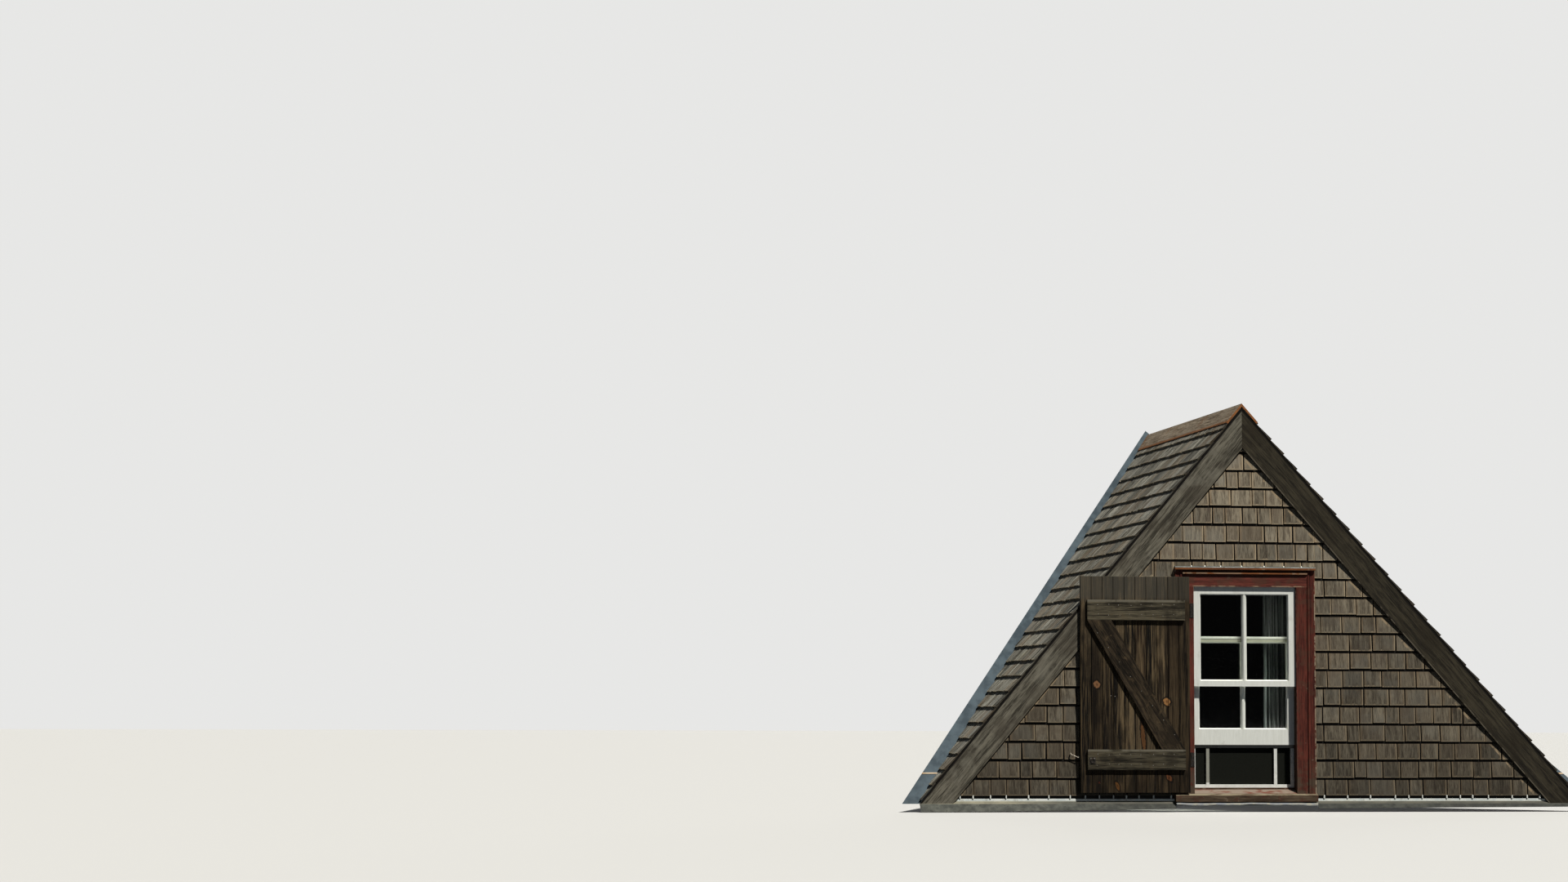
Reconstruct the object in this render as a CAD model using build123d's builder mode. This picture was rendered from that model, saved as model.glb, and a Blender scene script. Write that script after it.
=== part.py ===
from build123d import *
from math import atan, cos, hypot, radians, sin, tan
import os

# A-shaped roof dormer: a gabled front wall with a double-hung window and a board shutter,
# and two shingled slopes that run down to the main roof, where metal valleys meet them.
# X runs to the right, Y into the building and Z up. The origin is the middle of the
# underside of the bottom plate, which lies on the boarding of the main roof.

# Main form
main_pitch = 45.0  # of the roof that the dormer stands on, in degrees
apex_height = 2787.0  # of the slopes' boarding, above the foot of the front wall
left_reach = 2320.0  # from the apex line to the left foot
right_reach = 2474.0  # the right slope is a little flatter

# Framing
plate_thick = 19.0
plate_width = 100.0
stud_width = 38.0
stud_depth = 89.0
stud_spacing = 406.0
shortest_stud = 260.0
rafter_thick = 38.0
rafter_depth = 140.0
rafter_spacing = 406.0
shortest_rafter = 300.0  # height that the last pair still has at the ridge
ridge_thick = 25.0
ridge_depth = 235.0
header_depth = 140.0
sheathing_thick = 12.0
deck_thick = 19.0
valley_board_thick = 27.0
valley_board_inside = 180.0  # from the valley line to the board's inner edge
valley_board_setback = 4.0  # of its outer edge under the valley's metal

# Shingles
wall_exposure = 127.0
wall_first_butt = 68.0  # height of the lowest butt line
wall_shingle_thin = 4.0  # surface under the butt above, measured from the sheathing
wall_shingle_butt = 13.0
roof_exposure = 141.5
roof_first_butt = 27.0  # up the slope from its foot
roof_shingle_thin = 8.0
roof_shingle_butt = 20.0
roof_overhang = 1.0  # of the roof shingles past the rake board's face
casing_gap = 2.0  # between the wall shingles and the boards that they meet
valley_gap = 20.0  # strip of bare metal between the valley line and the shingles
roof_spare = 400.0  # length that the slopes' parts have before the main roof cuts them

# Ridge cap and rake boards
cap_width = 150.0
cap_thick = 14.0
cap_overhang = 4.0  # past the front edge of the roof shingles
rake_width = 182.0
rake_thick = 25.0

# Sheet metal
metal_thick = 1.0
valley_leg_foot = 104.0  # width of the outer leg at the foot
valley_leg_top = 52.0  # and at the ridge
valley_upstand = 80.0  # of the leg under the roof shingles
apron_leg_left = 117.0  # at the left valley
apron_leg_sill_left = 86.0
apron_leg_sill = 50.0  # under the sill's nose
apron_leg_sill_right = 82.0
apron_leg_right = 68.0  # at the right valley
apron_upstand = 50.0
head_upstand = 50.0
head_drip = 5.0
shingles_over_flashing = 6.0

# Window
window_center = 14.0
opening_width = 737.0
opening_top = 1529.0
jamb_thick = 20.0
jamb_depth = 101.0
casing_flat = 80.0
casing_thick = 20.0
backband_width = 58.0
backband_thick = 26.0
backband_bevel = 6.0
head_casing_height = 83.0
crown_height = 54.0
crown_reach = 44.0
crown_cap = 20.0  # height of the crown's square upper part
crown_step = 4.0
crown_cove_rise = 6.0  # from the crown's underside to its hollow
sash_clearance = 1.5
sash_thick = 35.0
sash_setback = 2.0  # of the upper sash's face behind the sheathing's face, outwards
sash_parting = 10.0
stile_width = 48.0
upper_top_rail = 51.0
meeting_rail = 40.0
bottom_rail = 110.0
upper_sash_height = 698.5
lower_sash_height = 759.0
lower_sash_raised = 299.0
glass_thick = 3.0

# Sill
sill_projection = 50.0
sill_bottom = 27.0
sill_nose_top = 70.0
sill_slope = 0.4
sill_seat = 123.0
sill_step_out = -50.0
sill_horn = 4.0  # past the casing at each end

# Screen under the raised lower sash
screen_thick = 16.0
screen_bar = 22.0
screen_front = -58.0
screen_bars_at = (-255.0, 234.0)  # middle bars, from the window's centre line
mesh_thick = 1.0

# Curtain inside
rod_radius = 6.0
rod_drop = 39.0  # below the opening's top
rod_out = -128.0
bracket_size = 20.0
curtain_width = 205.0
curtain_center = 268.0
curtain_thick = 36.0
curtain_length = 1165.0
curtain_clearance = 0.3

# Shutter, resting fully open to the left of the window
shutter_width = 781.0
shutter_thick = 20.0
shutter_over_nose = 18.0  # above the sill's front edge
shutter_under_crown = 17.0
shutter_boards_count = 10
shutter_groove = 3.0
batten_width = 141.0
batten_thick = 19.0
batten_inset_free = 47.0  # from the shutter's free edge
batten_inset_hinge = 37.0
upper_batten_inset = 165.0  # from the shutter's top
lower_batten_inset = 160.0  # from its foot
brace_width = 145.0
moving_clearance = 5.0

# Hinges
pin_inset = 31.0  # from the window's opening
pin_radius = 3.5
pin_play = 0.4
knuckle_radius = 7.0
edge_to_pin = 8.0
leaf_thick = 3.0
leaf_length = 36.0  # over the boards
leaf_height = 100.0
knuckle_height = 30.0
knuckle_gap = 1.0
web_thick = 6.0
fixed_leaf_width = 60.0

# Wire hook on the wall, beside the shutter's free edge, and the eye on the lower batten
hook_from_shutter = 66.0
hook_rise = 268.0  # above the shutter's foot
hook_ring_radius = 7.0
hook_wire_radius = 2.5
ring_wire_radius = 3.0
ring_stem_radius = 3.6
hook_drop = 24.0  # from the ring to the hook's bend
hook_tip = 11.0
eye_inset = 78.5  # from the shutter's free edge
eye_rise = 64.0  # above the lower batten's foot
eye_plate = 44.0
eye_plate_thick = 2.0
eye_ring_radius = 13.0
eye_wire_radius = 3.0

# Places that follow from the sizes above
pitch = radians(main_pitch)
stud_face = -plate_width / 2 * cos(pitch) - plate_thick * sin(pitch)
wall_face = stud_face - sheathing_thick  # y of the sheathing's outer face
wall_foot = wall_face * tan(pitch)  # z of the main roof's boarding at that face
roof_front = rake_thick + roof_overhang
cap_front = roof_front + cap_overhang
metal_top = valley_board_thick + metal_thick
roof_run = (apex_height + roof_spare) / tan(pitch) + cap_front
half_opening = opening_width / 2
casing_width = casing_flat + backband_width
casing_left_edge = window_center - half_opening - casing_width
casing_right_edge = window_center + half_opening + casing_width
shingle_edge_lift = -(rake_width + casing_gap)
sill_left = casing_left_edge - sill_horn
sill_right = casing_right_edge + sill_horn
sill_top = sill_nose_top + sill_slope * sill_projection  # at the sheathing's face
head_foot = opening_top + head_casing_height
crown_top = head_foot + crown_height
shutter_open_out = roof_front + moving_clearance
shutter_closed_out = backband_thick + moving_clearance
pin_out = (shutter_open_out + shutter_thick + shutter_closed_out) / 2
pin_x = window_center - half_opening - pin_inset
shutter_right = pin_x - edge_to_pin
shutter_left = shutter_right - shutter_width
shutter_face = shutter_open_out + shutter_thick
shutter_foot = sill_nose_top + shutter_over_nose
shutter_top = head_foot - shutter_under_crown
upper_batten_foot = shutter_top - upper_batten_inset - batten_width
lower_batten_foot = shutter_foot + lower_batten_inset


class Slope:
    """One slope of the dormer's roof. Lifts are square to it, from the top of its boarding."""

    def __init__(self, side, reach):
        self.side = side
        self.angle = atan(apex_height / reach)
        self.length = apex_height / sin(self.angle)
        self.run_per_rise = sin(pitch) / tan(self.angle)

    def at_x(self, distance, lift):
        rise = apex_height + lift / cos(self.angle) - distance * tan(self.angle)
        return (self.side * distance, rise)

    def at_height(self, height, lift):
        run = (apex_height - height + lift / cos(self.angle)) / tan(self.angle)
        return (self.side * run, height)

    def down(self, distance, lift):
        run = distance * cos(self.angle) + lift * sin(self.angle)
        rise = apex_height - distance * sin(self.angle) + lift * cos(self.angle)
        return (self.side * run, rise)

    def valley(self, along, offset):
        """Point on the main roof beside the valley line: along is its distance up the main roof."""
        drop = wall_foot + apex_height - along * sin(pitch) - valley_board_thick * cos(pitch)
        stretch = hypot(1.0, self.run_per_rise)
        return (self.side * (drop / tan(self.angle) + offset * stretch), along)


left = Slope(-1, left_reach)
right = Slope(1, right_reach)


def front(out=0.0):
    """Plane of the front wall, moved outwards: x to the right, y up from the wall's foot."""
    return Plane(origin=(0, wall_face - out, wall_foot), x_dir=(1, 0, 0), z_dir=(0, -1, 0))


def section(x):
    """Upright plane across the wall: x into the building from the sheathing's face, y up."""
    return Plane(origin=(x, wall_face, wall_foot), x_dir=(0, 1, 0), z_dir=(1, 0, 0))


def main_roof(lift=0.0):
    """Plane of the main roof's boarding, lifted: x to the right, y up the roof."""
    normal = (0, -sin(pitch), cos(pitch))
    return Plane(origin=(0, lift * normal[1], lift * normal[2]), x_dir=(1, 0, 0), z_dir=normal)


def height_on_roof(out, lift):
    """Height above the wall's foot of the lifted main roof, at a distance out from the wall."""
    return -out * tan(pitch) + lift / cos(pitch)


def along_roof(y, lift):
    """Distance up the lifted main roof of the line at this y."""
    return (y + lift * sin(pitch)) / cos(pitch)


def outline(*points):
    """Filled polygon in the sketch that is open."""
    Polygon(*points, align=None)


def save(name, builder):
    builder.part.label = name
    export_step(builder.part, f"parts/{name}.step")


os.makedirs("parts", exist_ok=True)


# Front wall: plate, studs, header and sheathing
with BuildPart() as bottom_plate:
    with BuildSketch(main_roof()):
        outline(
            left.valley(-plate_width / 2, -valley_board_inside),
            right.valley(-plate_width / 2, -valley_board_inside),
            right.valley(plate_width / 2, -valley_board_inside),
            left.valley(plate_width / 2, -valley_board_inside),
        )
    extrude(amount=plate_thick)
save("bottom_plate", bottom_plate)

rafter_underside = -(deck_thick + rafter_depth)
jamb_left = window_center - half_opening - jamb_thick
jamb_right = window_center + half_opening + jamb_thick


def stud_row(slope, nearest):
    """Studs from the window's jamb outwards, cut to the rafter above and the plate below."""
    with BuildPart() as row:
        distance = abs(nearest) + stud_width / 2
        lowest_top = shortest_stud + height_on_roof(0, plate_thick)
        while slope.at_x(distance, rafter_underside)[1] > lowest_top:
            inner = distance - stud_width / 2
            outer = distance + stud_width / 2
            with BuildSketch(front(-sheathing_thick)):
                outline(
                    (slope.side * inner, 0),
                    (slope.side * outer, 0),
                    slope.at_x(outer, rafter_underside),
                    slope.at_x(inner, rafter_underside),
                )
            extrude(amount=-stud_depth)
            distance += stud_spacing
        split(bisect_by=main_roof(plate_thick), keep=Keep.TOP)
    return row


save("studs_left", stud_row(left, jamb_left))
save("studs_right", stud_row(right, jamb_right))

header_foot = opening_top + jamb_thick
header_top = header_foot + header_depth

with BuildPart() as window_header:
    with BuildSketch(front(-sheathing_thick)):
        outline(
            (jamb_left, header_foot),
            (jamb_right, header_foot),
            (jamb_right, header_top),
            (jamb_left, header_top),
        )
    extrude(amount=-stud_depth)
save("window_header", window_header)

with BuildPart() as gable_studs:
    for slope in (left, right):
        middle = abs(window_center + slope.side * stud_spacing / 2)
        with BuildSketch(front(-sheathing_thick)):
            outline(
                (slope.side * (middle - stud_width / 2), header_top),
                (slope.side * (middle + stud_width / 2), header_top),
                slope.at_x(middle + stud_width / 2, rafter_underside),
                slope.at_x(middle - stud_width / 2, rafter_underside),
            )
        extrude(amount=-stud_depth)
save("gable_studs", gable_studs)


def sheathing(*points):
    with BuildPart() as panel:
        with BuildSketch(front()):
            outline(*points)
        extrude(amount=-sheathing_thick)
        split(bisect_by=main_roof(), keep=Keep.TOP)
    return panel


under_deck = -deck_thick
left_sheathing_top = left.at_x(-jamb_left, under_deck)
right_sheathing_top = right.at_x(jamb_right, under_deck)
save(
    "wall_sheathing_left",
    sheathing(left.at_height(0, under_deck), (jamb_left, 0), left_sheathing_top),
)
save(
    "wall_sheathing_right",
    sheathing(right.at_height(0, under_deck), (jamb_right, 0), right_sheathing_top),
)
save(
    "wall_sheathing_top",
    sheathing(
        (jamb_left, header_foot),
        (jamb_right, header_foot),
        right_sheathing_top,
        left.at_x(0, under_deck),
        left_sheathing_top,
    ),
)
save(
    "wall_sheathing_sill",
    sheathing((jamb_left, 0), (jamb_right, 0), (jamb_right, sill_bottom), (jamb_left, sill_bottom)),
)


# Wall shingles: stepped courses, cut to the rake boards and the window
def wall_surface(height):
    """Distance of the shingles' face from the sheathing at this height."""
    rise = (height - wall_first_butt) % wall_exposure
    return wall_shingle_butt - (wall_shingle_butt - wall_shingle_thin) * rise / wall_exposure


def wall_courses(foot, top):
    """Stepped section of the shingles between two heights, as points for section()."""
    points = [(-metal_thick, foot), (-wall_surface(foot), foot)]
    butt = wall_first_butt
    while butt < top:
        if butt > foot:
            points += [(-wall_shingle_thin, butt), (-wall_shingle_butt, butt)]
        butt += wall_exposure
    return points + [(-wall_surface(top), top), (-metal_thick, top)]


def wall_shingles(foot, *points):
    """Courses inside an outline on the wall. The outline's points are (x, height)."""
    start = min(x for x, height in points)
    end = max(x for x, height in points)
    top = max(height for x, height in points)
    with BuildPart() as panel:
        with BuildSketch(section(start)):
            outline(*wall_courses(foot, top + 1.0))
        extrude(amount=end - start)
        with BuildSketch(front(metal_thick)):
            outline(*points)
        extrude(amount=wall_shingle_butt, mode=Mode.INTERSECT)
    return panel


shingles_left_end = casing_left_edge - casing_gap
shingles_right_end = casing_right_edge + casing_gap
head_flashing_top = crown_top + metal_thick
shingles_over_head = head_flashing_top + shingles_over_flashing
left_shingles_top = left.at_x(-shingles_left_end, shingle_edge_lift)
right_shingles_top = right.at_x(shingles_right_end, shingle_edge_lift)
wall_shingles_left = wall_shingles(
    wall_first_butt,
    left.at_height(wall_first_butt, shingle_edge_lift),
    (sill_left - casing_gap, wall_first_butt),
    (sill_left - casing_gap, sill_top + casing_gap),
    (shingles_left_end, sill_top + casing_gap),
    left_shingles_top,
)
save("wall_shingles_left", wall_shingles_left)
save(
    "wall_shingles_right",
    wall_shingles(
        wall_first_butt,
        right.at_height(wall_first_butt, shingle_edge_lift),
        (sill_right + casing_gap, wall_first_butt),
        (sill_right + casing_gap, sill_top + casing_gap),
        (shingles_right_end, sill_top + casing_gap),
        right_shingles_top,
    ),
)
save(
    "wall_shingles_top",
    wall_shingles(
        shingles_over_head,
        (shingles_left_end, shingles_over_head),
        (shingles_right_end, shingles_over_head),
        right_shingles_top,
        left.at_x(0, shingle_edge_lift),
        left_shingles_top,
    ),
)


# Roof frame: ridge board, jack rafters, valley boards and boarding
with BuildPart() as ridge_board:
    half = ridge_thick / 2
    ridge_top = left.at_x(half, under_deck)[1]
    with BuildSketch(front(-sheathing_thick)):
        outline(
            (-half, ridge_top - ridge_depth),
            (half, ridge_top - ridge_depth),
            (half, ridge_top),
            (-half, ridge_top),
        )
    extrude(amount=-roof_run)
    split(bisect_by=main_roof(metal_top), keep=Keep.TOP)
save("ridge_board", ridge_board)


valley_foot = along_roof(wall_face - rake_thick, valley_board_thick)


def rafters(slope):
    """Pairs from the gable backwards, each cut level on the valley board by the main roof."""
    last = (apex_height - shortest_rafter) / tan(pitch)
    with BuildPart() as row:
        back = sheathing_thick
        while back < last:
            with BuildSketch(front(-back)):
                outline(
                    slope.at_x(ridge_thick / 2, under_deck),
                    slope.at_height(0, under_deck),
                    slope.at_height(0, rafter_underside),
                    slope.at_x(ridge_thick / 2, rafter_underside),
                )
            extrude(amount=-rafter_thick)
            back += rafter_spacing
        split(bisect_by=main_roof(valley_board_thick), keep=Keep.TOP)
    return row


def slope_top(slope, offset):
    """How far up the main roof a line beside the valley reaches the ridge."""
    start = slope.valley(0, offset)[0]
    return slope.side * start / slope.run_per_rise


def metal_edge(slope, setback=0.0):
    """Outer edge of the valley's metal, drawn in: its foot, and its end over the ridge."""
    foot = slope.valley(valley_foot, valley_leg_foot - setback)
    top = slope.valley(slope_top(slope, 0), valley_leg_top - setback)
    share = foot[0] / (foot[0] - top[0])
    return foot, (0, foot[1] + share * (top[1] - foot[1]))


def valley_board(slope):
    """Plank under the valley, which carries the jack rafters' feet and the metal."""
    outer_foot, outer_top = metal_edge(slope, valley_board_setback)
    inner_foot = slope.valley(valley_foot, -valley_board_inside)
    with BuildPart() as plank:
        with BuildSketch(main_roof()):
            outline(inner_foot, outer_foot, outer_top, (0, slope_top(slope, -valley_board_inside)))
        extrude(amount=valley_board_thick)
        split(bisect_by=front(-sheathing_thick), keep=Keep.BOTTOM)
    return plank


def roof_deck(slope):
    """Boarding from the wall's face back to the valley board."""
    with BuildPart() as deck:
        with BuildSketch(front()):
            outline(
                slope.at_x(0, under_deck),
                slope.at_height(0, under_deck),
                slope.at_height(0, 0),
                slope.at_x(0, 0),
            )
        extrude(amount=-roof_run)
        split(bisect_by=main_roof(valley_board_thick), keep=Keep.TOP)
    return deck


def roof_shingles(slope):
    """Courses from the foot up, then a thin stretch under the ridge cap."""
    butt = slope.length - roof_first_butt
    points = [slope.at_x(0, metal_thick), slope.down(butt, metal_thick), slope.down(butt, roof_shingle_butt)]
    while butt - roof_exposure > cap_width + roof_exposure / 4:
        butt -= roof_exposure
        points += [slope.down(butt, roof_shingle_thin), slope.down(butt, roof_shingle_butt)]
    points += [slope.down(cap_width, roof_shingle_thin), slope.at_x(0, roof_shingle_thin)]
    with BuildPart() as courses:
        with BuildSketch(front(roof_front)):
            outline(*points)
        extrude(amount=-roof_run)
        split(bisect_by=main_roof(metal_top + valley_gap), keep=Keep.TOP)
    return courses


def ridge_cap(slope):
    top = roof_shingle_thin + cap_thick
    with BuildPart() as board:
        with BuildSketch(front(cap_front)):
            outline(
                slope.at_x(0, roof_shingle_thin),
                slope.down(cap_width, roof_shingle_thin),
                slope.down(cap_width, top),
                slope.at_x(0, top),
            )
        extrude(amount=-roof_run)
        split(bisect_by=main_roof(metal_top + valley_gap), keep=Keep.TOP)
    return board


def valley_flashing(slope):
    """Bent sheet: a tapered leg on the main roof and a leg that runs up under the shingles."""
    outer_foot, outer_top = metal_edge(slope)
    with BuildPart() as sheet:
        with BuildSketch(main_roof(valley_board_thick)):
            outline(slope.valley(valley_foot, 0), (0, slope_top(slope, 0)), outer_top, outer_foot)
        extrude(amount=metal_thick)
        with BuildPart(mode=Mode.ADD) as upstand:
            with BuildSketch(front(rake_thick)):
                outline(
                    slope.at_x(0, 0),
                    slope.at_height(0, 0),
                    slope.at_height(0, metal_thick),
                    slope.at_x(0, metal_thick),
                )
            extrude(amount=-roof_run)
            split(bisect_by=main_roof(valley_board_thick), keep=Keep.TOP)
            split(bisect_by=main_roof(valley_board_thick + valley_upstand), keep=Keep.BOTTOM)
    return sheet


def rake_board(slope):
    with BuildPart() as board:
        with BuildSketch(front()):
            outline(
                slope.at_x(0, 0),
                slope.at_height(0, 0),
                slope.at_height(0, -rake_width),
                slope.at_x(0, -rake_width),
            )
        extrude(amount=rake_thick)
        split(bisect_by=main_roof(metal_top), keep=Keep.TOP)
    return board


for side_name, slope in (("left", left), ("right", right)):
    save(f"rafters_{side_name}", rafters(slope))
    save(f"valley_board_{side_name}", valley_board(slope))
    save(f"roof_deck_{side_name}", roof_deck(slope))
    save(f"roof_shingles_{side_name}", roof_shingles(slope))
    save(f"ridge_cap_{side_name}", ridge_cap(slope))
    save(f"valley_flashing_{side_name}", valley_flashing(slope))
    save(f"rake_board_{side_name}", rake_board(slope))


# Apron flashing: a leg down the main roof, longer on the left, and an upstand behind the shingles
def apron_foot(leg):
    return along_roof(wall_face, valley_board_thick) - leg


apron_bend = height_on_roof(0, valley_board_thick)
apron_under_sill = along_roof(wall_face, valley_board_thick) - (apron_bend - sill_bottom + 2.0) / sin(pitch)

with BuildPart() as apron_flashing:
    bend = along_roof(wall_face, valley_board_thick)
    with BuildSketch(main_roof(valley_board_thick)):
        outline(
            (left.valley(valley_foot, -casing_gap)[0], apron_foot(apron_leg_left)),
            (sill_left, apron_foot(apron_leg_sill_left)),
            (sill_left, apron_foot(apron_leg_sill)),
            (sill_right, apron_foot(apron_leg_sill)),
            (sill_right, apron_foot(apron_leg_sill_right)),
            (right.valley(valley_foot, -casing_gap)[0], apron_foot(apron_leg_right)),
            right.valley(valley_foot, -casing_gap),
            right.valley(bend, -casing_gap),
            (sill_right, bend),
            (sill_right, apron_under_sill),
            (sill_left, apron_under_sill),
            (sill_left, bend),
            left.valley(bend, -casing_gap),
            left.valley(valley_foot, -casing_gap),
        )
    extrude(amount=metal_thick)
    for slope, inner in ((left, sill_left), (right, sill_right)):
        with BuildSketch(front()):
            outline(
                slope.at_height(apron_bend, shingle_edge_lift),
                (inner, apron_bend),
                (inner, apron_bend + apron_upstand),
                slope.at_height(apron_bend + apron_upstand, shingle_edge_lift),
            )
        extrude(amount=metal_thick)
save("apron_flashing", apron_flashing)


# Window frame
with BuildPart() as window_sill:
    with BuildSketch(section(sill_left)):
        outline(
            (0, sill_bottom),
            (-sill_projection, sill_bottom),
            (-sill_projection, sill_nose_top),
            (0, sill_top),
        )
    extrude(amount=sill_right - sill_left)
    with BuildSketch(section(window_center - half_opening)):
        back = sash_parting + 2 * sash_thick - sash_setback
        outline(
            (0, sill_bottom),
            (sheathing_thick, sill_bottom),
            (sheathing_thick, height_on_roof(-sheathing_thick, plate_thick)),
            (back, height_on_roof(-back, plate_thick)),
            (back, sill_seat),
            (-sill_step_out, sill_seat),
            (-sill_step_out, sill_top - sill_slope * sill_step_out),
            (0, sill_top),
        )
    extrude(amount=opening_width)
save("window_sill", window_sill)

sill_top_plane = Plane(
    origin=(0, wall_face - sill_projection, wall_foot + sill_nose_top),
    x_dir=(1, 0, 0),
    z_dir=(0, -sill_slope, 1),
)


def side_casing(side):
    """Flat board with the thicker backband on its outer edge, cut to the sill's slope."""
    inner = half_opening
    with BuildPart() as casing:
        with BuildSketch(Plane(origin=(window_center, wall_face, wall_foot))):
            flat_end = side * (inner + casing_flat)
            outer = side * (inner + casing_width)
            outline(
                (side * inner, 0),
                (outer, 0),
                (outer, -backband_thick + backband_bevel),
                (outer - side * backband_bevel, -backband_thick),
                (flat_end + side * backband_bevel, -backband_thick),
                (flat_end, -casing_thick),
                (side * inner, -casing_thick),
            )
        extrude(amount=head_foot)
        with BuildSketch(front()):
            outline(
                (window_center + side * inner, opening_top),
                (window_center + flat_end, opening_top),
                (window_center + flat_end, head_foot),
                (window_center + side * inner, head_foot),
            )
        extrude(amount=backband_thick, mode=Mode.SUBTRACT)
        split(bisect_by=sill_top_plane, keep=Keep.TOP)
    return casing


save("casing_left", side_casing(-1))
save("casing_right", side_casing(1))

flat_reach = half_opening + casing_flat

with BuildPart() as head_casing:
    with BuildSketch(front()):
        outline(
            (window_center - flat_reach, opening_top),
            (window_center + flat_reach, opening_top),
            (window_center + flat_reach, head_foot),
            (window_center - flat_reach, head_foot),
        )
    extrude(amount=casing_thick)
save("head_casing", head_casing)

with BuildPart() as head_moulding:
    with BuildSketch(section(casing_left_edge)):
        cove_foot = head_foot + crown_cove_rise
        cap_foot = crown_top - crown_cap
        with BuildLine():
            cove_start = (-backband_thick, cove_foot)
            cove_end = (crown_step - crown_reach, cap_foot)
            Polyline((0, crown_top), (0, head_foot), (-backband_thick, head_foot), cove_start)
            RadiusArc(cove_start, cove_end, cap_foot - cove_foot)
            Polyline(cove_end, (-crown_reach, cap_foot), (-crown_reach, crown_top), (0, crown_top))
        make_face()
    extrude(amount=casing_right_edge - casing_left_edge)
save("head_moulding", head_moulding)

with BuildPart() as head_flashing:
    drip_reach = crown_reach + metal_thick
    with BuildSketch(section(casing_left_edge)):
        outline(
            (0, crown_top),
            (-crown_reach, crown_top),
            (-crown_reach, crown_top - head_drip),
            (-drip_reach, crown_top - head_drip),
            (-drip_reach, head_flashing_top),
            (-metal_thick, head_flashing_top),
            (-metal_thick, head_flashing_top + head_upstand),
            (0, head_flashing_top + head_upstand),
        )
    extrude(amount=casing_right_edge - casing_left_edge)
save("head_flashing", head_flashing)


def jamb(x):
    with BuildPart() as board:
        with BuildSketch(front()):
            outline(
                (x, sill_bottom),
                (x + jamb_thick, sill_bottom),
                (x + jamb_thick, opening_top),
                (x, opening_top),
            )
        extrude(amount=-jamb_depth)
        split(bisect_by=main_roof(plate_thick), keep=Keep.TOP)
    return board


save("jamb_left", jamb(jamb_left))
save("jamb_right", jamb(window_center + half_opening))

with BuildPart() as head_jamb:
    with BuildSketch(front()):
        outline(
            (jamb_left, opening_top),
            (jamb_right, opening_top),
            (jamb_right, header_foot),
            (jamb_left, header_foot),
        )
    extrude(amount=-jamb_depth)
save("head_jamb", head_jamb)


# Sashes, each a frame round one sheet of glass
def sash(face_out, foot, height, foot_rail, top_rail):
    half = half_opening - sash_clearance
    pane_half = half - stile_width
    pane = (
        (window_center - pane_half, foot + foot_rail),
        (window_center + pane_half, foot + foot_rail),
        (window_center + pane_half, foot + height - top_rail),
        (window_center - pane_half, foot + height - top_rail),
    )
    with BuildPart() as frame:
        with BuildSketch(front(face_out)):
            outline(
                (window_center - half, foot),
                (window_center + half, foot),
                (window_center + half, foot + height),
                (window_center - half, foot + height),
            )
        extrude(amount=-sash_thick)
        with BuildSketch(front(face_out)):
            outline(*pane)
        extrude(amount=-sash_thick, mode=Mode.SUBTRACT)
    with BuildPart() as glass:
        with BuildSketch(front(face_out - (sash_thick - glass_thick) / 2)):
            outline(*pane)
        extrude(amount=-glass_thick)
    return frame, glass


upper_sash_foot = opening_top - upper_sash_height
lower_sash_foot = sill_seat + lower_sash_raised
lower_face_out = sash_setback - sash_thick - sash_parting

sash_upper, glass_upper = sash(sash_setback, upper_sash_foot, upper_sash_height, meeting_rail, upper_top_rail)
sash_lower, glass_lower = sash(lower_face_out, lower_sash_foot, lower_sash_height, bottom_rail, meeting_rail)
save("sash_upper", sash_upper)
save("glass_upper", glass_upper)
save("sash_lower", sash_lower)
save("glass_lower", glass_lower)

# Insect screen between the sill and the raised sash
screen_half = half_opening - sash_clearance
screen_top = lower_sash_foot
bay_edges = [-screen_half]
for bar_middle in screen_bars_at:
    bay_edges += [bar_middle - screen_bar / 2, bar_middle + screen_bar / 2]
bay_edges += [screen_half]
bay_edges[0] += screen_bar
bay_edges[-1] -= screen_bar

with BuildPart() as screen_frame:
    with BuildSketch(front(screen_front)):
        outline(
            (window_center - screen_half, sill_seat),
            (window_center + screen_half, sill_seat),
            (window_center + screen_half, screen_top),
            (window_center - screen_half, screen_top),
        )
    extrude(amount=-screen_thick)
    for start, end in zip(bay_edges[::2], bay_edges[1::2]):
        with BuildSketch(front(screen_front)):
            outline(
                (window_center + start, sill_seat + screen_bar),
                (window_center + end, sill_seat + screen_bar),
                (window_center + end, screen_top - screen_bar),
                (window_center + start, screen_top - screen_bar),
            )
        extrude(amount=-screen_thick, mode=Mode.SUBTRACT)
save("screen_frame", screen_frame)

with BuildPart() as screen_mesh:
    with BuildSketch(front(screen_front - screen_thick)):
        outline(
            (window_center - screen_half, sill_seat),
            (window_center + screen_half, sill_seat),
            (window_center + screen_half, screen_top),
            (window_center - screen_half, screen_top),
        )
    extrude(amount=-mesh_thick)
save("screen_mesh", screen_mesh)

# Curtain rod on two brackets, and the gathered curtain under it
with BuildPart() as curtain_rod:
    rod_y = wall_face - rod_out
    rod_z = wall_foot + opening_top - rod_drop
    with BuildSketch(Plane(origin=(jamb_left, rod_y, rod_z), x_dir=(0, 1, 0), z_dir=(1, 0, 0))):
        Circle(rod_radius)
    extrude(amount=jamb_right - jamb_left)
    bracket_reach = -rod_out - jamb_depth
    for bracket_x in (jamb_left - bracket_size / 2, jamb_right + bracket_size / 2):
        with Locations((bracket_x, rod_y, rod_z)):
            Box(bracket_size, bracket_size, bracket_size)
            Box(
                bracket_size,
                bracket_reach,
                bracket_size,
                align=(Align.CENTER, Align.MAX, Align.CENTER),
            )
save("curtain_rod", curtain_rod)

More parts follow.
